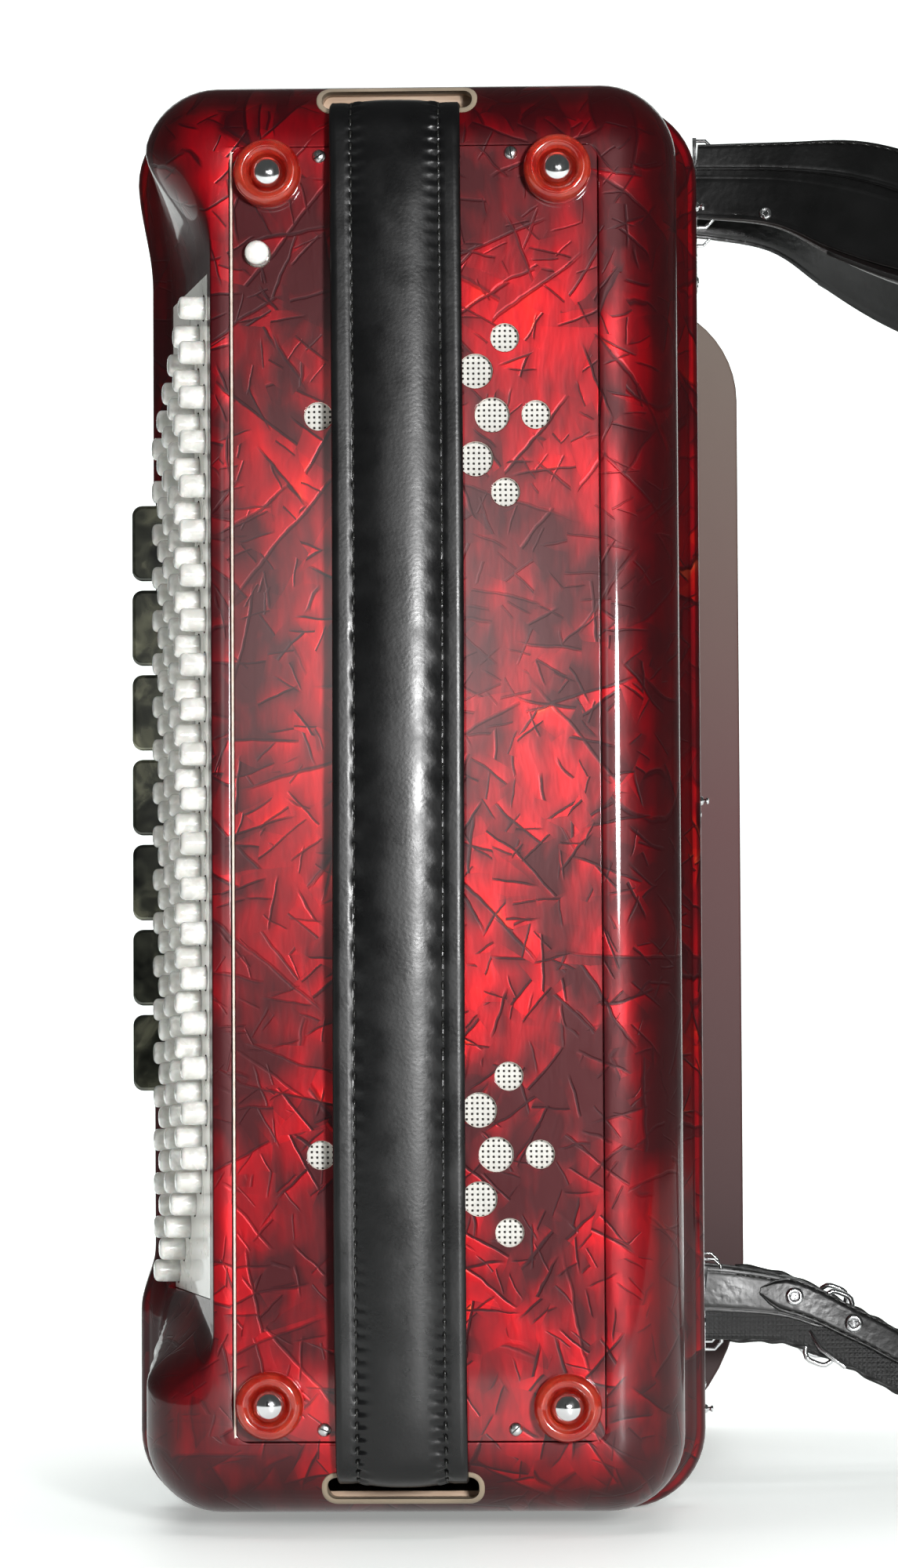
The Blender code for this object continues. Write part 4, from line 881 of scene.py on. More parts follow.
def hand_strap():
    path = curve_through([(0.0, y, z) for y, z in STRAP_PATH], 40)
    places, tops = strap_section()
    rings = []
    lines = ([], [])
    run = 0.0
    for index, centre in enumerate(path):
        before = path[max(index - 1, 0)]
        along = (path[min(index + 1, len(path) - 1)] - before).normalized()
        out = along.cross(Vector((1, 0, 0)))
        run += (centre - before).length
        swell = smooth_step(min(run, STRAP_LENGTH - run), 0.006, 0.060)
        lean = 0.0006 * math.sin(run * 11) + 0.0013 * (run / STRAP_LENGTH - 0.5)
        base = centre - out * 0.0021 + Vector((STRAP_X + lean, 0, 0))
        ring = []
        for x, top in zip(places, tops):
            crown = max(0.0, top - EDGE_TOP) * (0.35 + 0.65 * swell)
            pucker = 0.00038 * math.cos(run * 2 * math.pi / STITCH_PITCH) if 0.0122 < abs(x) < 0.0152 else 0.0
            ring.append(base + Vector((x, 0, 0)) + out * (min(top, EDGE_TOP) + crown + pucker))
        rings.append(ring + [base + Vector((x, 0, 0)) for x in (0.0215, 0.012, 0.0, -0.012, -0.0215)])
        for line, x in zip(lines, (-SEAM_X, SEAM_X)):
            line.append(base + Vector((x, 0, 0)) + out * 0.0014)
    maker = bmesh.new()
    skin(maker, rings)
    strap = finish("hand_strap_leather", maker, LEATHER, "bass", ["bass_hand_strap"], 50)
    maker = bmesh.new()
    for line in lines:
        stitches(maker, curve_through(line[16:-16], 3), lambda p: Vector((0, -1, 0)), STITCH_PITCH, 0.0026, 0.00042)
    finish("hand_strap_stitches", maker, THREAD, "bass", sharp=SMOOTH)


# ---------------------------------------------------------------- bellows

# One side of a pleat's ridge: distance from its middle along Y, and depth in from the bellows' outside
RIDGE = ((0.0, 0.0), (0.0005, 0.00005), (0.0009, 0.0004), (0.0012, 0.0013), (0.0017, 0.0060), (0.0023, 0.0118),
         (0.0026, 0.0143))
VALLEY_DEPTH, TAPE_DEPTH = 0.0150, 0.0014


def bellows():
    """Pleats as one piece that stretches between the casings, and their metal corners."""
    start, end = BELLOWS_Y
    outer = (RIM[0] + 0.006, RIM[1] - 0.006, 0.006, 0.494)
    pitch = (end - start) / FOLDS
    shape = [(start, VALLEY_DEPTH)]
    for fold in range(FOLDS):
        ridge = start + pitch * (fold + 0.5)
        shape += [(ridge - y, deep) for y, deep in reversed(RIDGE[1:])] + [(ridge + y, deep) for y, deep in RIDGE]
        shape.append((start + pitch * (fold + 1), VALLEY_DEPTH))
    rings = [ring_at(inset(outer, deep), 0.023 - 0.4 * deep, y, 7) for y, deep in shape]
    rings += [ring_at(inset(outer, deep + 0.0022), 0.019 - 0.4 * deep, y, 7) for y, deep in reversed(shape)]
    maker = bmesh.new()
    skin(maker, rings, closed=True)
    count = len(rings[0])
    for index, face in enumerate(maker.faces):
        first = index // count
        if first + 1 < len(shape) and max(shape[first][1], shape[first + 1][1]) < TAPE_DEPTH:
            face.material_index = 1
    pleats = finish("bellows_pleats", maker, [BELLOWS_CLOTH, BELLOWS_TAPE], None, ["bellows"], 60)
    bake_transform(pleats)
    maker = bmesh.new()
    profile = [(-0.00175, 0.0040), (-0.00145, 0.0012), (-0.0011, 0.0001), (-0.0006, -0.00025), (0.0006, -0.00025),
               (0.0011, 0.0001), (0.00145, 0.0012), (0.00175, 0.0040)]
    profile += [(y * 0.86, deep + 0.00025) for y, deep in reversed(profile)]
    for fold in range(FOLDS):
        ridge = start + pitch * (fold + 0.5)
        for side_x, side_z in ((-1, -1), (-1, 1), (1, -1), (1, 1)):
            rings = []
            for step in range(-1, 9):
                angle = math.radians(90 * min(max(step, 0), 7) / 7)
                ring = []
                for y, deep in profile:
                    x = 0.071 + (0.023 - deep) * math.sin(angle) - 0.007 * (step == -1)
                    z = 0.221 + (0.023 - deep) * math.cos(angle) - 0.007 * (step == 8)
                    ring.append((side_x * x, ridge + y, 0.250 + side_z * z))
                rings.append(ring)
            skin(maker, rings)
    corners = finish("bellows_corners", maker, CHROME, None, (), 50)
    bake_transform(corners)


def bellows_frames():
    for name, start, body in (("bass", -0.1417, "bass"), ("treble", -0.045, "treble")):
        outer, inner = inset(RIM, 0.006), inset(RIM, 0.0195)
        rings = []
        for share, gap in ((0.0, 0.0006), (0.09, 0.0), (0.91, 0.0), (1.0, 0.0006)):
            rings.append(ring_at(inset(outer, gap), 0.023, start + 0.0067 * share, 12))
        rings += [ring_at(inner, 0.014, start + 0.0067, 12), ring_at(inner, 0.014, start, 12)]
        maker = bmesh.new()
        skin(maker, rings, closed=True)
        finish("bellows_frame_ring_" + name, maker, DARK_FRAME, body, ["bellows_frame_" + name])


def studs():
    """Pins that hold the bellows frames in the casings."""
    for body, y in (("bass", -0.149), ("treble", -0.0285)):
        maker = bmesh.new()
        spots = [((0.1, y, z), (1, 0, 0)) for z in (0.0344, 0.250, 0.463)]
        spots += [((x, y, 0.5), (0, 0, 1)) for x in (-0.060, 0.060)]
        profile = [(0.0, -0.0010), (0.0016, -0.0010), (0.0016, 0.0004), (0.0012, 0.0009), (0.0007, 0.0010),
                   (0.0007, 0.0018), (0.0012, 0.0022), (0.0011, 0.0028), (0.0, 0.0030)]
        for at, direction in spots:
            lathe(maker, profile, at, direction, 20)
        finish("bellows_pins_" + body, maker, CHROME, body, sharp=60)


# A bellows strap's section: share of its half width, and share of its half thickness
FLAT_SECTION = ((-1, -0.6), (-1, 0.35), (-0.96, 0.8), (-0.86, 1.0), (-0.80, 0.86), (-0.74, 1.0), (0.0, 1.0),
                (0.74, 1.0), (0.80, 0.86), (0.86, 1.0), (0.96, 0.8), (1, 0.35), (1, -0.6), (0.9, -1), (-0.9, -1))
FLAT_START, FLAT_END, FLAT_TIP = -0.1515, -0.0128, 0.010


def bellows_straps():
    """The two straps that hold the bellows shut, the upper one with snaps."""
    for name, sign in (("upper", 1), ("lower", -1)):
        body = "bellows_strap_" + name
        middle = 0.25 + sign * (0.25 - 0.0020)
        maker = bmesh.new()
        rings = []
        for k in range(61):
            y = FLAT_START + (FLAT_END - FLAT_START) * k / 60
            short = max(0.0, FLAT_TIP - (y - FLAT_START)) / FLAT_TIP
            half = 0.0165 * (0.35 + 0.65 * math.sqrt(max(0.0, 1 - short ** 2)))
            rings.append([(half * x, y, middle + sign * 0.0014 * h) for x, h in FLAT_SECTION])
        skin(maker, rings)
        finish("fold_strap_" + name, maker, LEATHER, body, [body], 50)
        maker = bmesh.new()
        for x in (-0.0134, 0.0134):
            line = [Vector((x, -0.140 + 0.0008 * k, middle + sign * 0.0013)) for k in range(156)]
            stitches(maker, line, lambda p, s=sign: Vector((0, 0, s)), 0.0042, 0.0029, 0.0003)
        finish("fold_strap_stitches_" + name, maker, THREAD, body, sharp=SMOOTH)
        if sign > 0:
            maker = bmesh.new()
            profile = [(0.0, 0.0001), (0.0062, 0.0001), (0.0062, 0.0006), (0.0056, 0.0013), (0.0050, 0.0010),
                       (0.0044, 0.0013), (0.0030, 0.0019), (0.0, 0.0021)]
            for y in (-0.1455, -0.0330):
                lathe(maker, profile, (0, y, middle + sign * 0.0013), (0, 0, sign), 32)
            finish("fold_strap_snaps_" + name, maker, CHROME, body, sharp=60)


# ---------------------------------------------------------------- treble casing and grille

def treble_casing():
    low, high = TREBLE_Y
    rings = []
    for gap, y in ((0.0015, low), (0.0004, low + 0.0006), (0.0, low + 0.0018), (0.0, high - 0.0012),
                   (0.0003, high - 0.0004), (0.0010, high)):
        rings.append(ring_at(inset(RIM, gap), RIM_RADIUS, y, 14))
    rings += [ring_at(inset(RIM, WALL), 0.022, high, 14), ring_at(inset(RIM, WALL), 0.022, low, 14)]
    maker = bmesh.new()
    skin(maker, rings, closed=True)
    shell = finish("treble_shell", maker, SIDE_SHADED_RED)
    maker = bmesh.new()
    for bottom, top in ((-0.001, 0.004), (0.496, 0.501)):
        block(maker, (-0.0185, -0.039, bottom), (0.0185, -0.012, top))
    carve(shell, [finish("notches", maker, DARK_FRAME)])
    settle(shell, "treble", ["treble_casing"])


# The grille's section in X and Y, from the casing's front round to the slot for the register tabs
GRILLE = ((-0.0985, 0.0423), (-0.0985, 0.0500), (-0.0982, 0.0570), (-0.0950, 0.0660), (-0.0860, 0.0750),
          (-0.0720, 0.0810), (-0.0450, 0.0850), (0.0000, 0.0860), (0.0350, 0.0860))
GRILLE_BACK_Y = 0.0423
WINDOWS, WINDOW_LOW_Z, WINDOW_PITCH, WINDOW_HEIGHT = 8, 0.030, 0.0565, 0.044
TREBLE_TABS = [0.25 + 0.034 * (2 - index) for index in range(5)]


def treble_grille():
    """The hollow cover over the treble valves, its windows, the cloth behind them and the lattice in them."""
    smooth = [(p.x, p.y) for p in curve_through([(x, y, 0.0) for x, y in GRILLE[:-1]], 5)] + [GRILLE[-1]]
    centre = Vector((-0.02, GRILLE_BACK_Y))
    rings = []
    for shrink, z in ((0.0060, 0.0020), (0.0030, 0.0024), (0.0010, 0.0040), (0.0, 0.0070), (0.0, 0.4930),
                      (0.0010, 0.4960), (0.0030, 0.4976), (0.0060, 0.4980)):
        ring = []
        for x, y in smooth:
            pull = (centre - Vector((x, y))).normalized() * shrink
            ring.append((min(x + pull.x, GRILLE[-1][0]) if x < 0.034 else x,
                         max(y + pull.y * (y > 0.043), GRILLE_BACK_Y), z))
        ring.append((GRILLE[-1][0], GRILLE_BACK_Y, z))
        rings.append(ring)
    maker = bmesh.new()
    skin(maker, rings)
    cover_piece = finish("grille_shell", maker, PEARL_RED)
    inside = [(-0.0955, 0.0400), (-0.0955, 0.0550), (-0.0925, 0.0640), (-0.0845, 0.0722), (-0.0710, 0.0780),
              (-0.0445, 0.0820), (0.0000, 0.0830), (0.0320, 0.0830), (0.0320, 0.0400)]
    cutters = []
    maker = bmesh.new()
    slab(maker, [(x, y, 0.0050) for x, y in inside], (0, 0, 0.4900))
    cutters.append(finish("hollow", maker, REED_WOOD))
    maker = bmesh.new()
    block(maker, (0.0300, 0.0400, 0.0095), (0.0400, 0.0612, 0.4625))
    cutters.append(finish("lever_way", maker, REED_WOOD))
    maker = bmesh.new()
    for k in range(WINDOWS):
        low = WINDOW_LOW_Z + WINDOW_PITCH * k
        skin(maker, [ring_at((-0.0780, -0.0140, low, low + WINDOW_HEIGHT), 0.010, y, 8) for y in (0.068, 0.092)])
    for z in TREBLE_TABS:
        skin(maker, [ring_at((0.0055, 0.0265, z - 0.0125, z + 0.0125), 0.0025, y, 5) for y in (0.080, 0.092)])
    cutters.append(finish("windows", maker, CHROME))
    carve(cover_piece, cutters)
    settle(cover_piece, "treble", ["treble_grille"])
    maker = bmesh.new()
    lining = [(-0.0790, 0.0735), (-0.0700, 0.0767), (-0.0445, 0.0809), (-0.0120, 0.0819)]
    back = [(x, y - 0.0006) for x, y in lining]
    skin(maker, [[(x, y, 0.020 + 0.0115 * k) for x, y in lining + back[::-1]] for k in range(41)])
    cloth = finish("grille_lining", maker, GRILLE_CLOTH, "treble", ["treble_grille_cloth"])
    maker = bmesh.new()
    for k in range(WINDOWS):
        middle = WINDOW_LOW_Z + WINDOW_PITCH * k + WINDOW_HEIGHT / 2
        for lean in (-1, 1):
            for n in range(-4, 5):
                points = []
                for t in [-0.032 + 0.004 * s for s in range(17)]:
                    x, z = -0.046 + 0.0135 * n + t, middle + lean * t * 1.15
                    if -0.0775 < x < -0.0145 and abs(z - middle) < 0.0216:
                        points.append((x, 0.0822 - 5.67 * max(0.0, -x - 0.040) ** 2 + 0.0004 * lean, z))
                if len(points) > 2:
                    tube(maker, points, 0.0007, 6)
    finish("grille_lattice", maker, CHROME, "treble", sharp=SMOOTH)


def treble_registers():
    for index, z in enumerate(TREBLE_TABS):
        body = f"treble_register_{index + 1}"
        maker = bmesh.new()
        skin(maker, [ring_at((0.0060, 0.0260, z - 0.0120, z + 0.0120), 0.0022, y, 6) for y in (0.0770, 0.0900)])
        tab = finish(f"treble_tab_{index + 1}", maker, PEARL_WHITE, body, [body])
        round_edges(tab, 0.0012, 3)
        maker = bmesh.new()
        skin(maker, [[(0.0160 + radius * c, 0.0900 + lift, z + radius * s) for c, s in circle(36)] for radius, lift
                     in ((0.0062, -0.0004), (0.0062, 0.0002), (0.0052, 0.0002), (0.0052, -0.0004))], closed=True)
        finish(f"treble_tab_ring_{index + 1}", maker, BRASS, body)


# ---------------------------------------------------------------- keyboard

def key_places():
    """White keys as (low, high) from the top down, and the middles of the black keys. The top key is an F."""
    top = KEYBOARD_LOW_Z + WHITE_PITCH * WHITE_KEYS
    whites, blacks = [], []
    for k in range(WHITE_KEYS):
        high = top - WHITE_PITCH * k
        whites.append((high - WHITE_PITCH, high))
        if "FGABCDE"[k % 7] in "FGACD" and k < WHITE_KEYS - 1:
            blacks.append(high - WHITE_PITCH)
    return whites, blacks


KEY_GAP = 0.0004   # off each side of a white key


def white_keys(group, keys, blacks):
    name = "white_keys_" + group
    x, y = WHITE_AXLE
    maker, works = bmesh.new(), bmesh.new()
    for low, high in keys:
        narrow = [BLACK_HALF + 0.0007 if any(abs(b - edge) < 0.001 for b in blacks) else KEY_GAP
                  for edge in (low, high)]
        tail_low, tail_high = low + narrow[0], high - narrow[1]
        low, high = low + KEY_GAP, high - KEY_GAP
        shoulder = BLACK_END_Y + 0.0010
        outline = [(y + 0.004, tail_low), (shoulder, tail_low), (shoulder, low), (KEY_END_Y - 0.0010, low),
                   (KEY_END_Y, low + 0.0010), (KEY_END_Y, high - 0.0010), (KEY_END_Y - 0.0010, high),
                   (shoulder, high), (shoulder, tail_high), (y + 0.004, tail_high)]
        if tail_low <= low + 0.0001:
            del outline[1:3]
        if tail_high >= high - 0.0001:
            del outline[-3:-1]
        slab(maker, [(0.0480, a, b) for a, b in outline], (0.0050, 0, 0), 0)
        slab(works, [(0.0531, a - 0.0012 * (a > 0.19), b) for a, b in outline], (0.0068, 0, 0), 0)
        middle = (tail_low + tail_high) / 2
        arm = ((-0.0300, 0.0535), (0.0600, 0.0535), (0.0600, 0.0602), (0.0500, 0.0602), (0.0460, 0.0570),
               (-0.0300, 0.0570))
        slab(works, [(a, b, middle - 0.0010) for a, b in arm], (0, 0, 0.0020), 1)
        block(works, (-0.0430, 0.0450, middle - 0.0052), (-0.0210, 0.0550, middle + 0.0052), 0)
        block(works, (-0.0430, 0.0386, middle - 0.0052), (-0.0210, 0.0449, middle + 0.0052), 2)
    rod(works, 0.0038, keys[0][1] - keys[-1][0] - 0.0024, (x, y, keys[-1][0] + 0.0012), (0, 0, 1), 20, 1)
    tops = finish(name + "_tops", maker, KEY_WHITE, name, [name])
    round_edges(tops, 0.0009, 4)
    under = finish(name + "_levers", works, [REED_WOOD, ALUMINIUM, VALVE_PAD], name)
    round_edges(under, 0.0003, 2)


def black_keys(group, centres):
    name = "black_keys_" + group
    x, y = BLACK_AXLE
    maker, works = bmesh.new(), bmesh.new()
    for z in centres:
        rings = []
        for along, front, half in ((y + 0.003, 0.0440, 0.0047), (0.0610, 0.0385, 0.0047), (0.0640, 0.0380, 0.0047),
                                   (0.1490, 0.0380, 0.0047), (0.1530, 0.0388, 0.0045), (0.1562, 0.0415, 0.0044),
                                   (BLACK_END_Y, 0.0470, 0.0043)):
            edge = 0.0012
            back = 0.0550 if along > 0.062 else 0.0480
            outline = [(back, z - half - 0.0003)]
            outline += arc((front + edge, z - half + edge), (edge, edge), 270, -90, 4)
            outline += arc((front + edge, z + half - edge), (edge, edge), 180, -90, 4)
            outline.append((back, z + half + 0.0003))
            rings.append([(across, along, height) for across, height in outline])
        skin(maker, rings)
        block(works, (0.0060, 0.0450, z - 0.0010), (0.0460, 0.0475, z + 0.0010), 1)
        block(works, (0.0010, 0.0420, z - 0.0045), (0.0210, 0.0460, z + 0.0045), 0)
        block(works, (0.0010, 0.0386, z - 0.0045), (0.0210, 0.0419, z + 0.0045), 2)
    run = centres[0] - centres[-1] + 2 * BLACK_HALF
    rod(works, 0.0034, run, (x, y, centres[-1] - BLACK_HALF), (0, 0, 1), 20, 1)
    finish(name + "_sticks", maker, KEY_BLACK, name, [name], 50)
    under = finish(name + "_levers", works, [REED_WOOD, ALUMINIUM, VALVE_PAD], name)
    round_edges(under, 0.0003, 2)


def bed_outline(shrink, front_x):
    """The fingerboard's end in X and Z, with a large rounding at the bottom and a smaller one at the top."""
    low_z, high_z = BOARD_BACK_Z
    points = [(front_x, low_z + shrink)]
    for (wide, tall), centre_z, first in ((LOW_CORNER, low_z + LOW_CORNER[1], -90),
                                          (HIGH_CORNER, high_z - HIGH_CORNER[1], 0)):
        points += arc((BOARD_BACK - wide, centre_z), (wide - shrink, tall - shrink), first, 90, 12)
    return points + [(front_x, high_z - shrink)]


def fingerboard():
    low_y = TREBLE_Y[1] + GAP
    maker = bmesh.new()
    slab(maker, [(x, low_y, z) for x, z in bed_outline(0.0, 0.0700)], (0, BOARD_END_Y - low_y, 0))
    bed = finish("fingerboard_bed", maker, LACQUER)
    maker = bmesh.new()
    slab(maker, [(x, low_y + 0.005, z) for x, z in bed_outline(0.0032, 0.0680)],
         (0, BOARD_END_Y - low_y - 0.010, 0))
    carve(bed, [finish("bed_hollow", maker, REED_WOOD)])
    settle(bed, "treble", ["fingerboard"])
    round_edges(bed, 0.0012, 3, 60)
    maker = bmesh.new()
    for z in (BOARD_BACK_Z[0], BOARD_BACK_Z[1] - 0.0032):
        outline = [(0.0400, low_y), (0.0698, low_y), (0.0698, BOARD_END_Y), (0.0500, BOARD_END_Y), (0.0500, 0.0750),
                   (0.0400, 0.0750)]
        slab(maker, [(x, y, z) for x, y in outline], (0, 0, 0.0032))
    cheeks = finish("keyboard_cheeks", maker, LACQUER, "treble")
    round_edges(cheeks, 0.0008, 3)
    maker = bmesh.new()
    for k in range(-2, 3):
        screw(maker, (BOARD_BACK, 0.095, 0.2438 + 0.0684 * k), (1, 0, 0), 0.0021, 0.4 + k)
    finish("fingerboard_screws", maker, [STEEL, KEY_BLACK], "treble")


def thirds(keys):
    cut = len(keys) // 3
    return keys[:cut], keys[cut:2 * cut], keys[2 * cut:]


def keyboard():
    whites, blacks = key_places()
    for group, keys in zip(GROUPS, thirds(whites)):
        white_keys(group, keys, blacks)
    for group, centres in zip(GROUPS, thirds(blacks)):
        black_keys(group, centres)
    fingerboard()


# ---------------------------------------------------------------- shoulder straps

# From the upper bracket round to the lower one: x, y, z, half width, half thickness, and the turn of the width
# from upright towards Y in degrees
STRAP_ROUTE = (
    (0.1048, 0.000, 0.4925, 0.0140, 0.0020, 2), (0.1350, -0.002, 0.4900, 0.0165, 0.0028, 10),
    (0.1600, -0.004, 0.4835, 0.0235, 0.0042, 18), (0.1850, -0.006, 0.4730, 0.0275, 0.0052, 30),
    (0.2200, -0.009, 0.4560, 0.0300, 0.0060, 48), (0.2550, -0.012, 0.4310, 0.0310, 0.0060, 66),
    (0.2850, -0.014, 0.4000, 0.0310, 0.0060, 80), (0.3080, -0.015, 0.3580, 0.0310, 0.0060, 88),
    (0.3210, -0.016, 0.3050, 0.0310, 0.0060, 90), (0.3250, -0.016, 0.2480, 0.0310, 0.0060, 90),
    (0.3200, -0.016, 0.1900, 0.0300, 0.0060, 90), (0.3060, -0.015, 0.1360, 0.0270, 0.0050, 84),
    (0.2820, -0.013, 0.0900, 0.0180, 0.0030, 70), (0.2500, -0.010, 0.0570, 0.0140, 0.0020, 50),
    (0.2150, -0.006, 0.0400, 0.0140, 0.0020, 32), (0.1850, -0.003, 0.0385, 0.0140, 0.0020, 18),
    (0.1600, -0.001, 0.0500, 0.0140, 0.0020, 12), (0.1350, 0.000, 0.0610, 0.0140, 0.0020, 8),
    (0.1050, 0.000, 0.0645, 0.0145, 0.0020, 2),
)


def strap_frames(base_y, lean, steps=7):
    """Smooth stations along a strap: centre, width direction, outward direction, half width, half thickness."""
    laid = []
    count = len(STRAP_ROUTE)
    for index, (x, y, z, half_w, half_t, turn) in enumerate(STRAP_ROUTE):
        before = STRAP_ROUTE[max(index - 1, 0)]
        after = STRAP_ROUTE[min(index + 1, count - 1)]
        along = Vector((after[0] - before[0], lean * (after[1] - before[1]), after[2] - before[2])).normalized()
        upright = along.cross(Vector((0, 1, 0))).normalized()
        side = (Vector((0, 1, 0)) - along * along.y).normalized()
        angle = math.radians(turn)
        if index > count // 2:
            upright = -upright
        width = upright * math.cos(angle) + side * math.sin(angle) * lean
        thick = along.cross(width)
        laid.append((Vector((x, base_y + lean * y * 2.2, z)), width, thick, Vector((half_w, half_t, 0))))
    columns = [curve_through([row[k] for row in laid], steps) for k in range(4)]
    return [(c, w.normalized(), t.normalized(), s.x, s.y) for c, w, t, s in zip(*columns)]


# Places across a strap as shares of its half width: its outside, and back along its inside
ACROSS = (-1.0, -0.985, -0.93, -0.86, -0.83, -0.80, -0.6, -0.3, 0.0, 0.3, 0.6, 0.80, 0.83, 0.86, 0.93, 0.985, 1.0)
UNDER = (1.0, 0.96, 0.8, 0.5, 0.0, -0.5, -0.8, -0.96, -1.0)


def flat_strap(maker, frames, crown=1.0, webbing=None):
    """A strap with a crowned leather outside and a mesh inside; from ring webbing on, it is mesh all round."""
    rings = []
    for centre, width, out, half_w, half in frames:
        ring = []
        for a in ACROSS:
            seam = 0.112 if 0.815 < abs(a) < 0.845 else 0.0
            edge = 0.35 if abs(a) > 0.99 else 0.75 if abs(a) > 0.97 else 1.0
            rise = crown * max(0.0, 1 - (a / 0.8) ** 2)
            ring.append(centre + width * half_w * a + out * half * (min(edge, 0.80 + 0.20 * rise) - seam))
        for a in UNDER:
            edge = 0.35 if abs(a) > 0.99 else 0.8 if abs(a) > 0.9 else 1.0
            ring.append(centre + width * half_w * a - out * half * edge)
        rings.append(ring)
    before = len(maker.faces)
    skin(maker, rings)
    maker.faces.ensure_lookup_table()
    count = len(ACROSS) + len(UNDER)
    for number, face in enumerate(list(maker.faces)[before + 2:]):
        leather = number % count < len(ACROSS) and not (webbing and number // count >= webbing)
        face.material_index = 0 if leather else 1


def part_of(frames, low, high, lift, half):
    """The stations of a thinner layer that lies on a strap between two shares of its width."""
    laid = []
    for centre, width, out, half_w, half_t in frames:
        middle = centre + width * half_w * (low + high) / 2 + out * (half_t + lift)
        laid.append((middle, width, out, half_w * (high - low) / 2, half))
    return laid


# Stations of strap_frames between which each part of a strap lies
NARROW, WEBBING, PADDED = 92, 84, slice(14, 84)
TOP, FOLD, LOOP, TONGUE = slice(0, 34), slice(0, 30), slice(114, 127), slice(92, 123)
FRILL, BUCKLE, KEEPERS = slice(86, 125), 115, (92, 97)
CASING_SIDE_X = 0.1003


def narrowed(index, station):
    """The lower end of the strap is narrower, and widens again a little into its loop."""
    centre, width, out, half_w, half_t = station
    share = smooth_step(index, NARROW, 100) * (0.30 - 0.22 * smooth_step(index, 112, 126))
    return (centre, width, out, half_w * (1 - share), half_t) if index >= NARROW else station


def tapered(name, laid):
    """A layer's stations with rounded free ends: one end of top, fold and loop, and both ends of the tongue."""
    made = []
    for index, (centre, width, out, half_w, half_t) in enumerate(laid):
        to_end = len(laid) - 1 - index
        close = {"top": to_end, "fold": to_end, "loop": index, "tongue": min(index, to_end)}[name]
        share = math.sin(math.radians(90 * min(1.0, (close + 0.35) / 3.0)))
        made.append((centre, width, out, half_w * share, half_t * (0.6 + 0.4 * share)))
    return made


def shoulder_strap(side, base_y, lean):
    frames = [narrowed(index, station) for index, station in enumerate(strap_frames(base_y, lean))]
    for index in (0, -1):
        centre = frames[index][0]
        frames[index] = (Vector((0.1024, centre.y, centre.z)), *frames[index][1:])
    maker = bmesh.new()
    flat_strap(maker, frames, 1.0, WEBBING)
    body = finish("shoulder_pad_" + side, maker, [STRAP_LEATHER, STRAP_MESH], "treble", ["shoulder_strap_" + side],
                  60)
    back = [(centre, width, -out, half_w, half_t) for centre, width, out, half_w, half_t in frames]
    layers = {"top": part_of(frames[TOP], 0.30, 1.0, 0.0009, 0.0011),
              "fold": part_of(frames[FOLD], -1.0, 0.16, 0.0004, 0.0010),
              "loop": part_of(back[LOOP], -0.20, 1.02, 0.0006, 0.0010),
              "tongue": part_of(back[TONGUE], -0.08, 1.10, 0.0026, 0.0013)}
    for name, laid in layers.items():
        maker = bmesh.new()
        flat_strap(maker, tapered(name, laid), 0.4)
        finish(f"strap_{name}_{side}", maker, [STRAP_LEATHER, LEATHER_EDGE], "treble",
               sharp=60)
    maker = bmesh.new()
    long_seam = frames[14:-46]
    for laid, a in ((long_seam, -0.86), (long_seam, 0.86), (layers["top"], 0.80), (layers["tongue"], 0.84),
                    (layers["tongue"], -0.84), (layers["loop"], 0.80)):
        line = [c + w * half_w * a + o * half_t * 0.96 for c, w, o, half_w, half_t in laid[2:-2]]
        fine = curve_through(line, 6)
        tops = {id(p): laid[min(2 + k // 6, len(laid) - 1)][2] for k, p in enumerate(fine)}
        stitches(maker, fine, lambda p, tops=tops: tops[id(p)], 0.0044, 0.0029, 0.00036)
    finish("shoulder_stitching_" + side, maker, THREAD, "treble", sharp=SMOOTH)
    maker = bmesh.new()
    for a in (-0.985, 0.985):
        tube(maker, [c + w * half_w * a for c, w, o, half_w, half_t in frames[PADDED]], 0.0013, 8)
    for a in (-1.0, 1.0):
        frill = [c + w * (half_w + 0.0004 * math.cos(2.4 * k)) * a + o * 0.0006 * math.sin(2.4 * k)
                 for k, (c, w, o, half_w, half_t) in enumerate(frames[FRILL])]
        tube(maker, curve_through(frill, 3), 0.0010, 6)
    finish("strap_piping_" + side, maker, LEATHER_EDGE, "treble", sharp=SMOOTH)
    brackets(side, base_y)
    hardware(side, frames, back, layers["tongue"])


def rivet(maker, at, direction, size=1.0):
    """An eyelet: a rounded metal ring round an open middle."""
    profile = [(0.0013, 0.0), (0.0034, 0.0), (0.0034, 0.0004), (0.0029, 0.0009), (0.0021, 0.0010), (0.0016, 0.0006),
               (0.0013, 0.0)]
    turn = frame_along(direction)
    skin(maker, [[Vector(at) + turn @ Vector((size * r * c, size * r * s, h)) for c, s in circle(28)]
                 for r, h in profile])


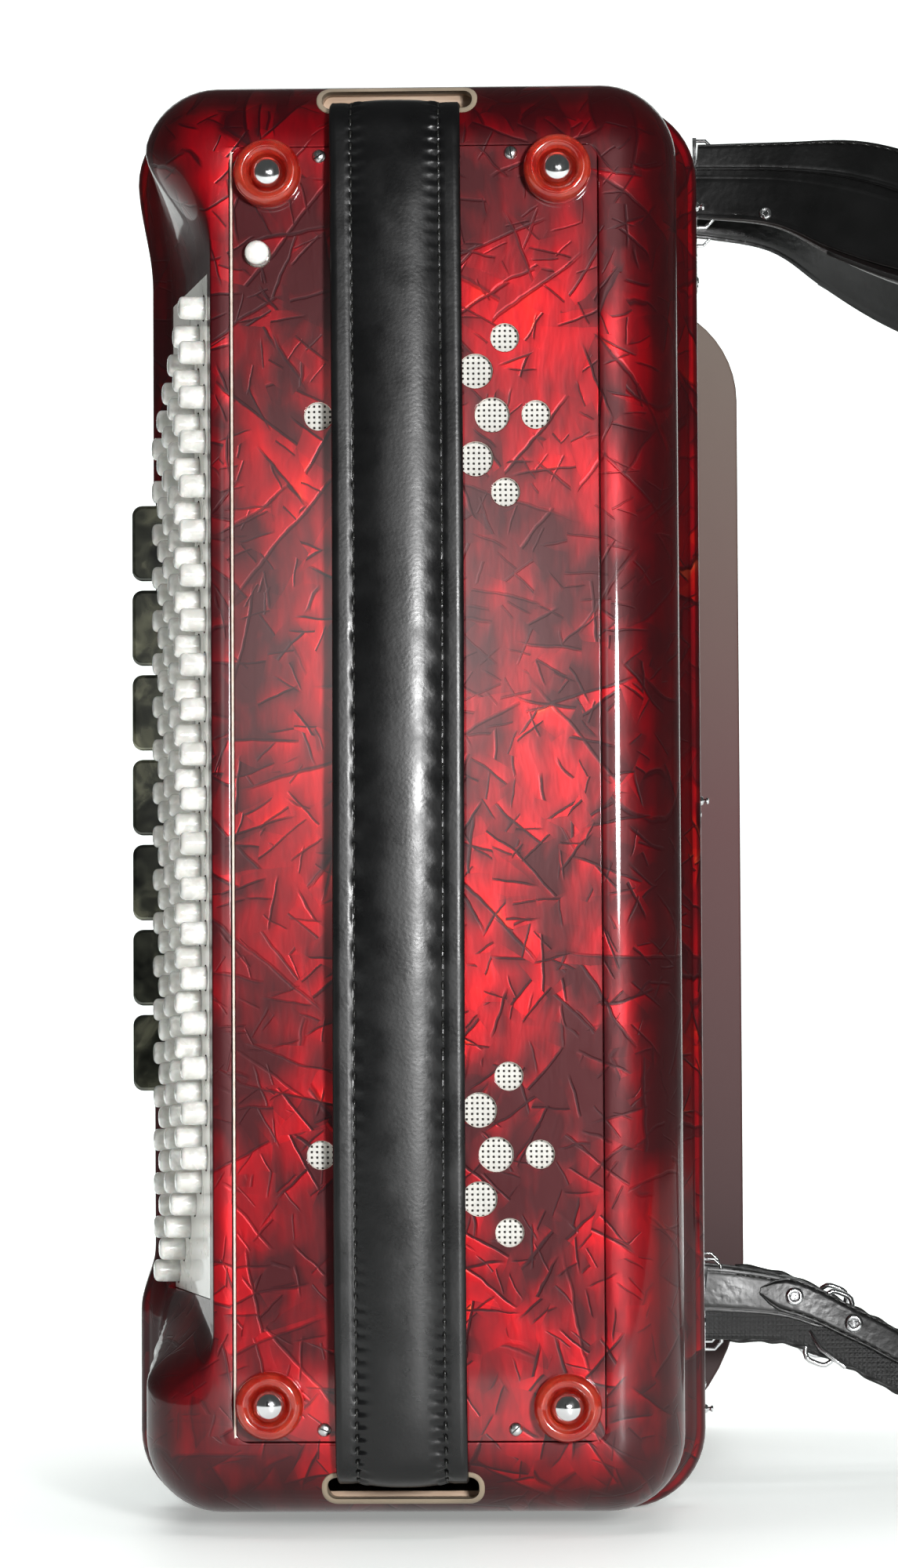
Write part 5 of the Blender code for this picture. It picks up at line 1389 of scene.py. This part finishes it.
def brackets(side, base_y):
    """The two plates on the casing that hold a strap's ends, each with a tang and a wire loop."""
    x = CASING_SIDE_X
    for place, plate_z, low_z, high_z in (("upper", 0.4600, 0.4752, 0.5084), ("lower", 0.0640, 0.0474, 0.0814)):
        maker = bmesh.new()
        rings = []
        for lift, gap in ((0.0, 0.0), (0.0013, 0.0), (0.0019, 0.0007)):
            box = (base_y - 0.0090 + gap, base_y + 0.0090 - gap, plate_z - 0.0120 + gap, plate_z + 0.0115 - gap)
            rings.append([(x + lift, y, z) for y, z in outline_points(box, 0.0040, 6)])
        skin(maker, rings)
        block(maker, (x + 0.0010, base_y - 0.0030, min(plate_z - 0.0100, low_z)),
              (x + 0.0025, base_y + 0.0030, high_z + 0.0008))
        wire = ((0.0014, low_z), (0.0060, low_z), (0.0086, low_z + 0.0026), (0.0086, high_z - 0.0026),
                (0.0060, high_z), (0.0014, high_z))
        tube(maker, [(x + out, base_y, z) for out, z in wire], 0.0007, 12)
        for y in (-0.0055, 0.0055):
            screw(maker, (x + 0.0019, base_y + y, plate_z - 0.0062), (1, 0, 0), 0.0017, 0.8)
        finish(f"strap_anchor_{place}_{side}", maker, [CHROME, KEY_BLACK], "treble",
               [f"strap_bracket_{place}_{side}"], 40)


def hardware(side, frames, back, tongue):
    """Eyelets, the buckle with its tongue, and the keepers."""
    maker = bmesh.new()
    if side == "left":
        centre, width, out, half_w, half_t = frames[6]
        rivet(maker, centre - width * half_w * 0.80 + out * (half_t + 0.0014), out, 0.7)
    for index in (4, 10):
        centre, width, out, half_w, half_t = tongue[-index]
        rivet(maker, centre + out * half_t, out)
    centre, width, out, half_w, half_t = back[BUCKLE]
    along = out.cross(width)
    ring = []
    for a, b in circle(32) + [(1.0, 0.0)]:
        norm = (abs(a) ** 4 + abs(b) ** 4) ** 0.25   # a rounded rectangle
        ring.append(centre + width * (half_w + 0.0040) * a / norm + along * 0.0060 * b / norm)
    tube(maker, ring, 0.0010, 10)
    tube(maker, [centre + along * 0.0060 - width * half_w * 0.4 + out * 0.0010,
                 centre - width * half_w * 0.9 + out * 0.0050,
                 centre - along * 0.0110 - width * (half_w + 0.0020) + out * 0.0040], 0.0009, 10)
    finish("strap_hardware_" + side, maker, CHROME, "treble", sharp=60)
    maker = bmesh.new()
    outline = ((-1, -1), (-1, 1), (-0.9, 1.3), (0.9, 1.3), (1, 1), (1, -1), (0.9, -1.3), (-0.9, -1.3))
    for index in KEEPERS:
        centre, width, out, half_w, half_t = frames[index]
        along = out.cross(width)
        skin(maker, [[centre + along * shift + width * (half_w + 0.0008 + grow) * a
                      + out * (half_t + 0.0003 + grow) * b for a, b in outline]
                     for shift, grow in ((-0.0045, 0.0002), (-0.0040, 0.0006), (0.0040, 0.0006), (0.0045, 0.0002))])
    finish("strap_keepers_" + side, maker, LEATHER, "treble")


def straps():
    shoulder_strap("left", -0.0240, 1)
    shoulder_strap("right", 0.0230, -1)


# ---------------------------------------------------------------- floor, light and camera

def glow_card(name, place, aim, size, strength, spread):
    """A soft-edged light panel: bright in its middle and fading to nothing at its rim."""
    look = Look(name + "_glow", (0, 0, 0), 1.0, Emission_Color=(1.0, 1.0, 0.99, 1.0))
    parts = look.vector("DIVIDE", look.place, (spread[0], spread[1], 1.0))
    fall = look.math("EXPONENT", look.math("MULTIPLY", look.vector("DOT_PRODUCT", parts, parts, 1), -1.0))
    look.set(Emission_Strength=look.math("MULTIPLY", fall, strength))
    maker = bmesh.new()
    maker.faces.new([maker.verts.new((size[0] * a / 2, size[1] * b / 2, 0))
                     for a, b in ((-1, -1), (1, -1), (1, 1), (-1, 1))])
    card = finish(name, maker, look.made)
    turn = (Vector(aim) - Vector(place)).to_track_quat("Z", "Y").to_matrix().to_4x4()
    card.matrix_world = Matrix.Translation(place) @ turn
    card.visible_camera = False
    card.visible_shadow = False


BACKDROP_Y, BEND, HALF_STUDIO = 5.6, 0.8, 2.4
PALE = (0.95, 1.0, 0.98, 1.0)
# Name, place, aim, size and power of each lamp. Only the glint is seen in reflections.
LAMPS = (("over", (0.0, 0.3, 2.2), (0.0, 0.1, 0.0), (2.4, 2.0), 30),
         ("key", (0.50, -2.25, 0.75), (0.0, -0.25, 0.25), (0.50, 0.50), 17),
         ("glint", (0.44, -1.92, 0.35), (0.0, -0.26, 0.27), (0.17, 0.22), 26),
         ("left", (-1.9, -0.9, 0.9), (0.0, -0.1, 0.25), (0.8, 1.4), 6),
         ("right", (2.0, -0.3, 1.0), (0.1, -0.1, 0.25), (0.8, 1.4), 6),
         ("behind", (0.0, 2.0, 1.9), (0.0, 1.9, 0.0), (2.6, 0.8), 24))


def sweep():
    """A pale floor that bends up into a wall far behind, and glows more towards it as a lit backdrop does."""
    floor = Look("studio_floor", (0.86, 0.885, 0.87), 0.5, Emission_Color=PALE)
    floor.set(Emission_Strength=floor.remap(floor.part(1, floor.place), 0.6, 2.4, 0.30, 0.95))
    maker = bmesh.new()
    profile = [(-1.0, 0.0), (1.0, 0.0), (3.0, 0.0)] + arc((BACKDROP_Y, BEND), (BEND, BEND), -90, 90, 10)
    profile.append((BACKDROP_Y + BEND, 4.0))
    rows = [[maker.verts.new((x, y, z)) for x in (-HALF_STUDIO, HALF_STUDIO)] for y, z in profile]
    for first, second in zip(rows, rows[1:]):
        maker.faces.new((first[0], first[1], second[1], second[0]))
    finish("studio_sweep", maker, floor.made)


def lights():
    world = bpy.data.worlds.new("studio")
    world.use_nodes = True
    world.node_tree.nodes["Background"].inputs[0].default_value = PALE
    world.node_tree.nodes["Background"].inputs[1].default_value = 0.07
    bpy.context.scene.world = world
    for name, place, aim, size, power in LAMPS:
        lamp = bpy.data.lights.new(name, "AREA")
        lamp.shape = "ELLIPSE"
        lamp.size, lamp.size_y = size
        lamp.energy = power
        holder = bpy.data.objects.new(name, lamp)
        holder.location = place
        holder.rotation_euler = (Vector(aim) - Vector(place)).to_track_quat("-Z", "Y").to_euler()
        holder.visible_glossy = name == "glint"
        bpy.context.scene.collection.objects.link(holder)
    glow_card("front_glow", (-0.07, -2.00, 0.42), (-0.03, -0.25, 0.30), (0.9, 0.9), 3.6, (0.12, 0.16))


def camera():
    """The photograph's view, as fitted to the outline, the feet, the strap and the sound holes."""
    view = bpy.data.cameras.new("camera")
    view.lens = 116.3
    view.sensor_width = 36.0
    view.clip_end = 30.0
    holder = bpy.data.objects.new("camera", view)
    turn = Matrix.Identity(3)
    for degrees, axis in ((1.635, "Z"), (2.660, "X"), (0.306, "Y"), (90.0, "X")):
        turn = turn @ Matrix.Rotation(math.radians(degrees), 3, axis)
    holder.matrix_world = Matrix.Translation((0.0618, -1.954, 0.1727)) @ turn.to_4x4()
    bpy.context.scene.collection.objects.link(holder)
    bpy.context.scene.camera = holder
    bpy.context.scene.view_settings.view_transform = "Standard"


def inside_looks():
    """Materials of the CAD pieces that stay: the reed blocks, the soundboards, the key axles and the tab rail."""
    for look, names in ((REED_WOOD, ("bass_soundboard", "bass_reed_block", "treble_soundboard",
                                     "treble_reed_block_low", "treble_reed_block_high")),
                        (STEEL, ("white_key_axle", "black_key_axle", "treble_register_rail"))):
        for name in names:
            piece = bpy.data.objects[name]
            piece.data.materials.clear()
            piece.data.materials.append(look)


for build in (bass_casing, button_side, cover, end_fittings, adjuster, registers, bellows, bellows_frames, studs,
              bellows_straps, treble_casing, treble_grille, treble_registers, keyboard, straps, hand_strap,
              inside_looks, sweep, lights, camera):
    build()
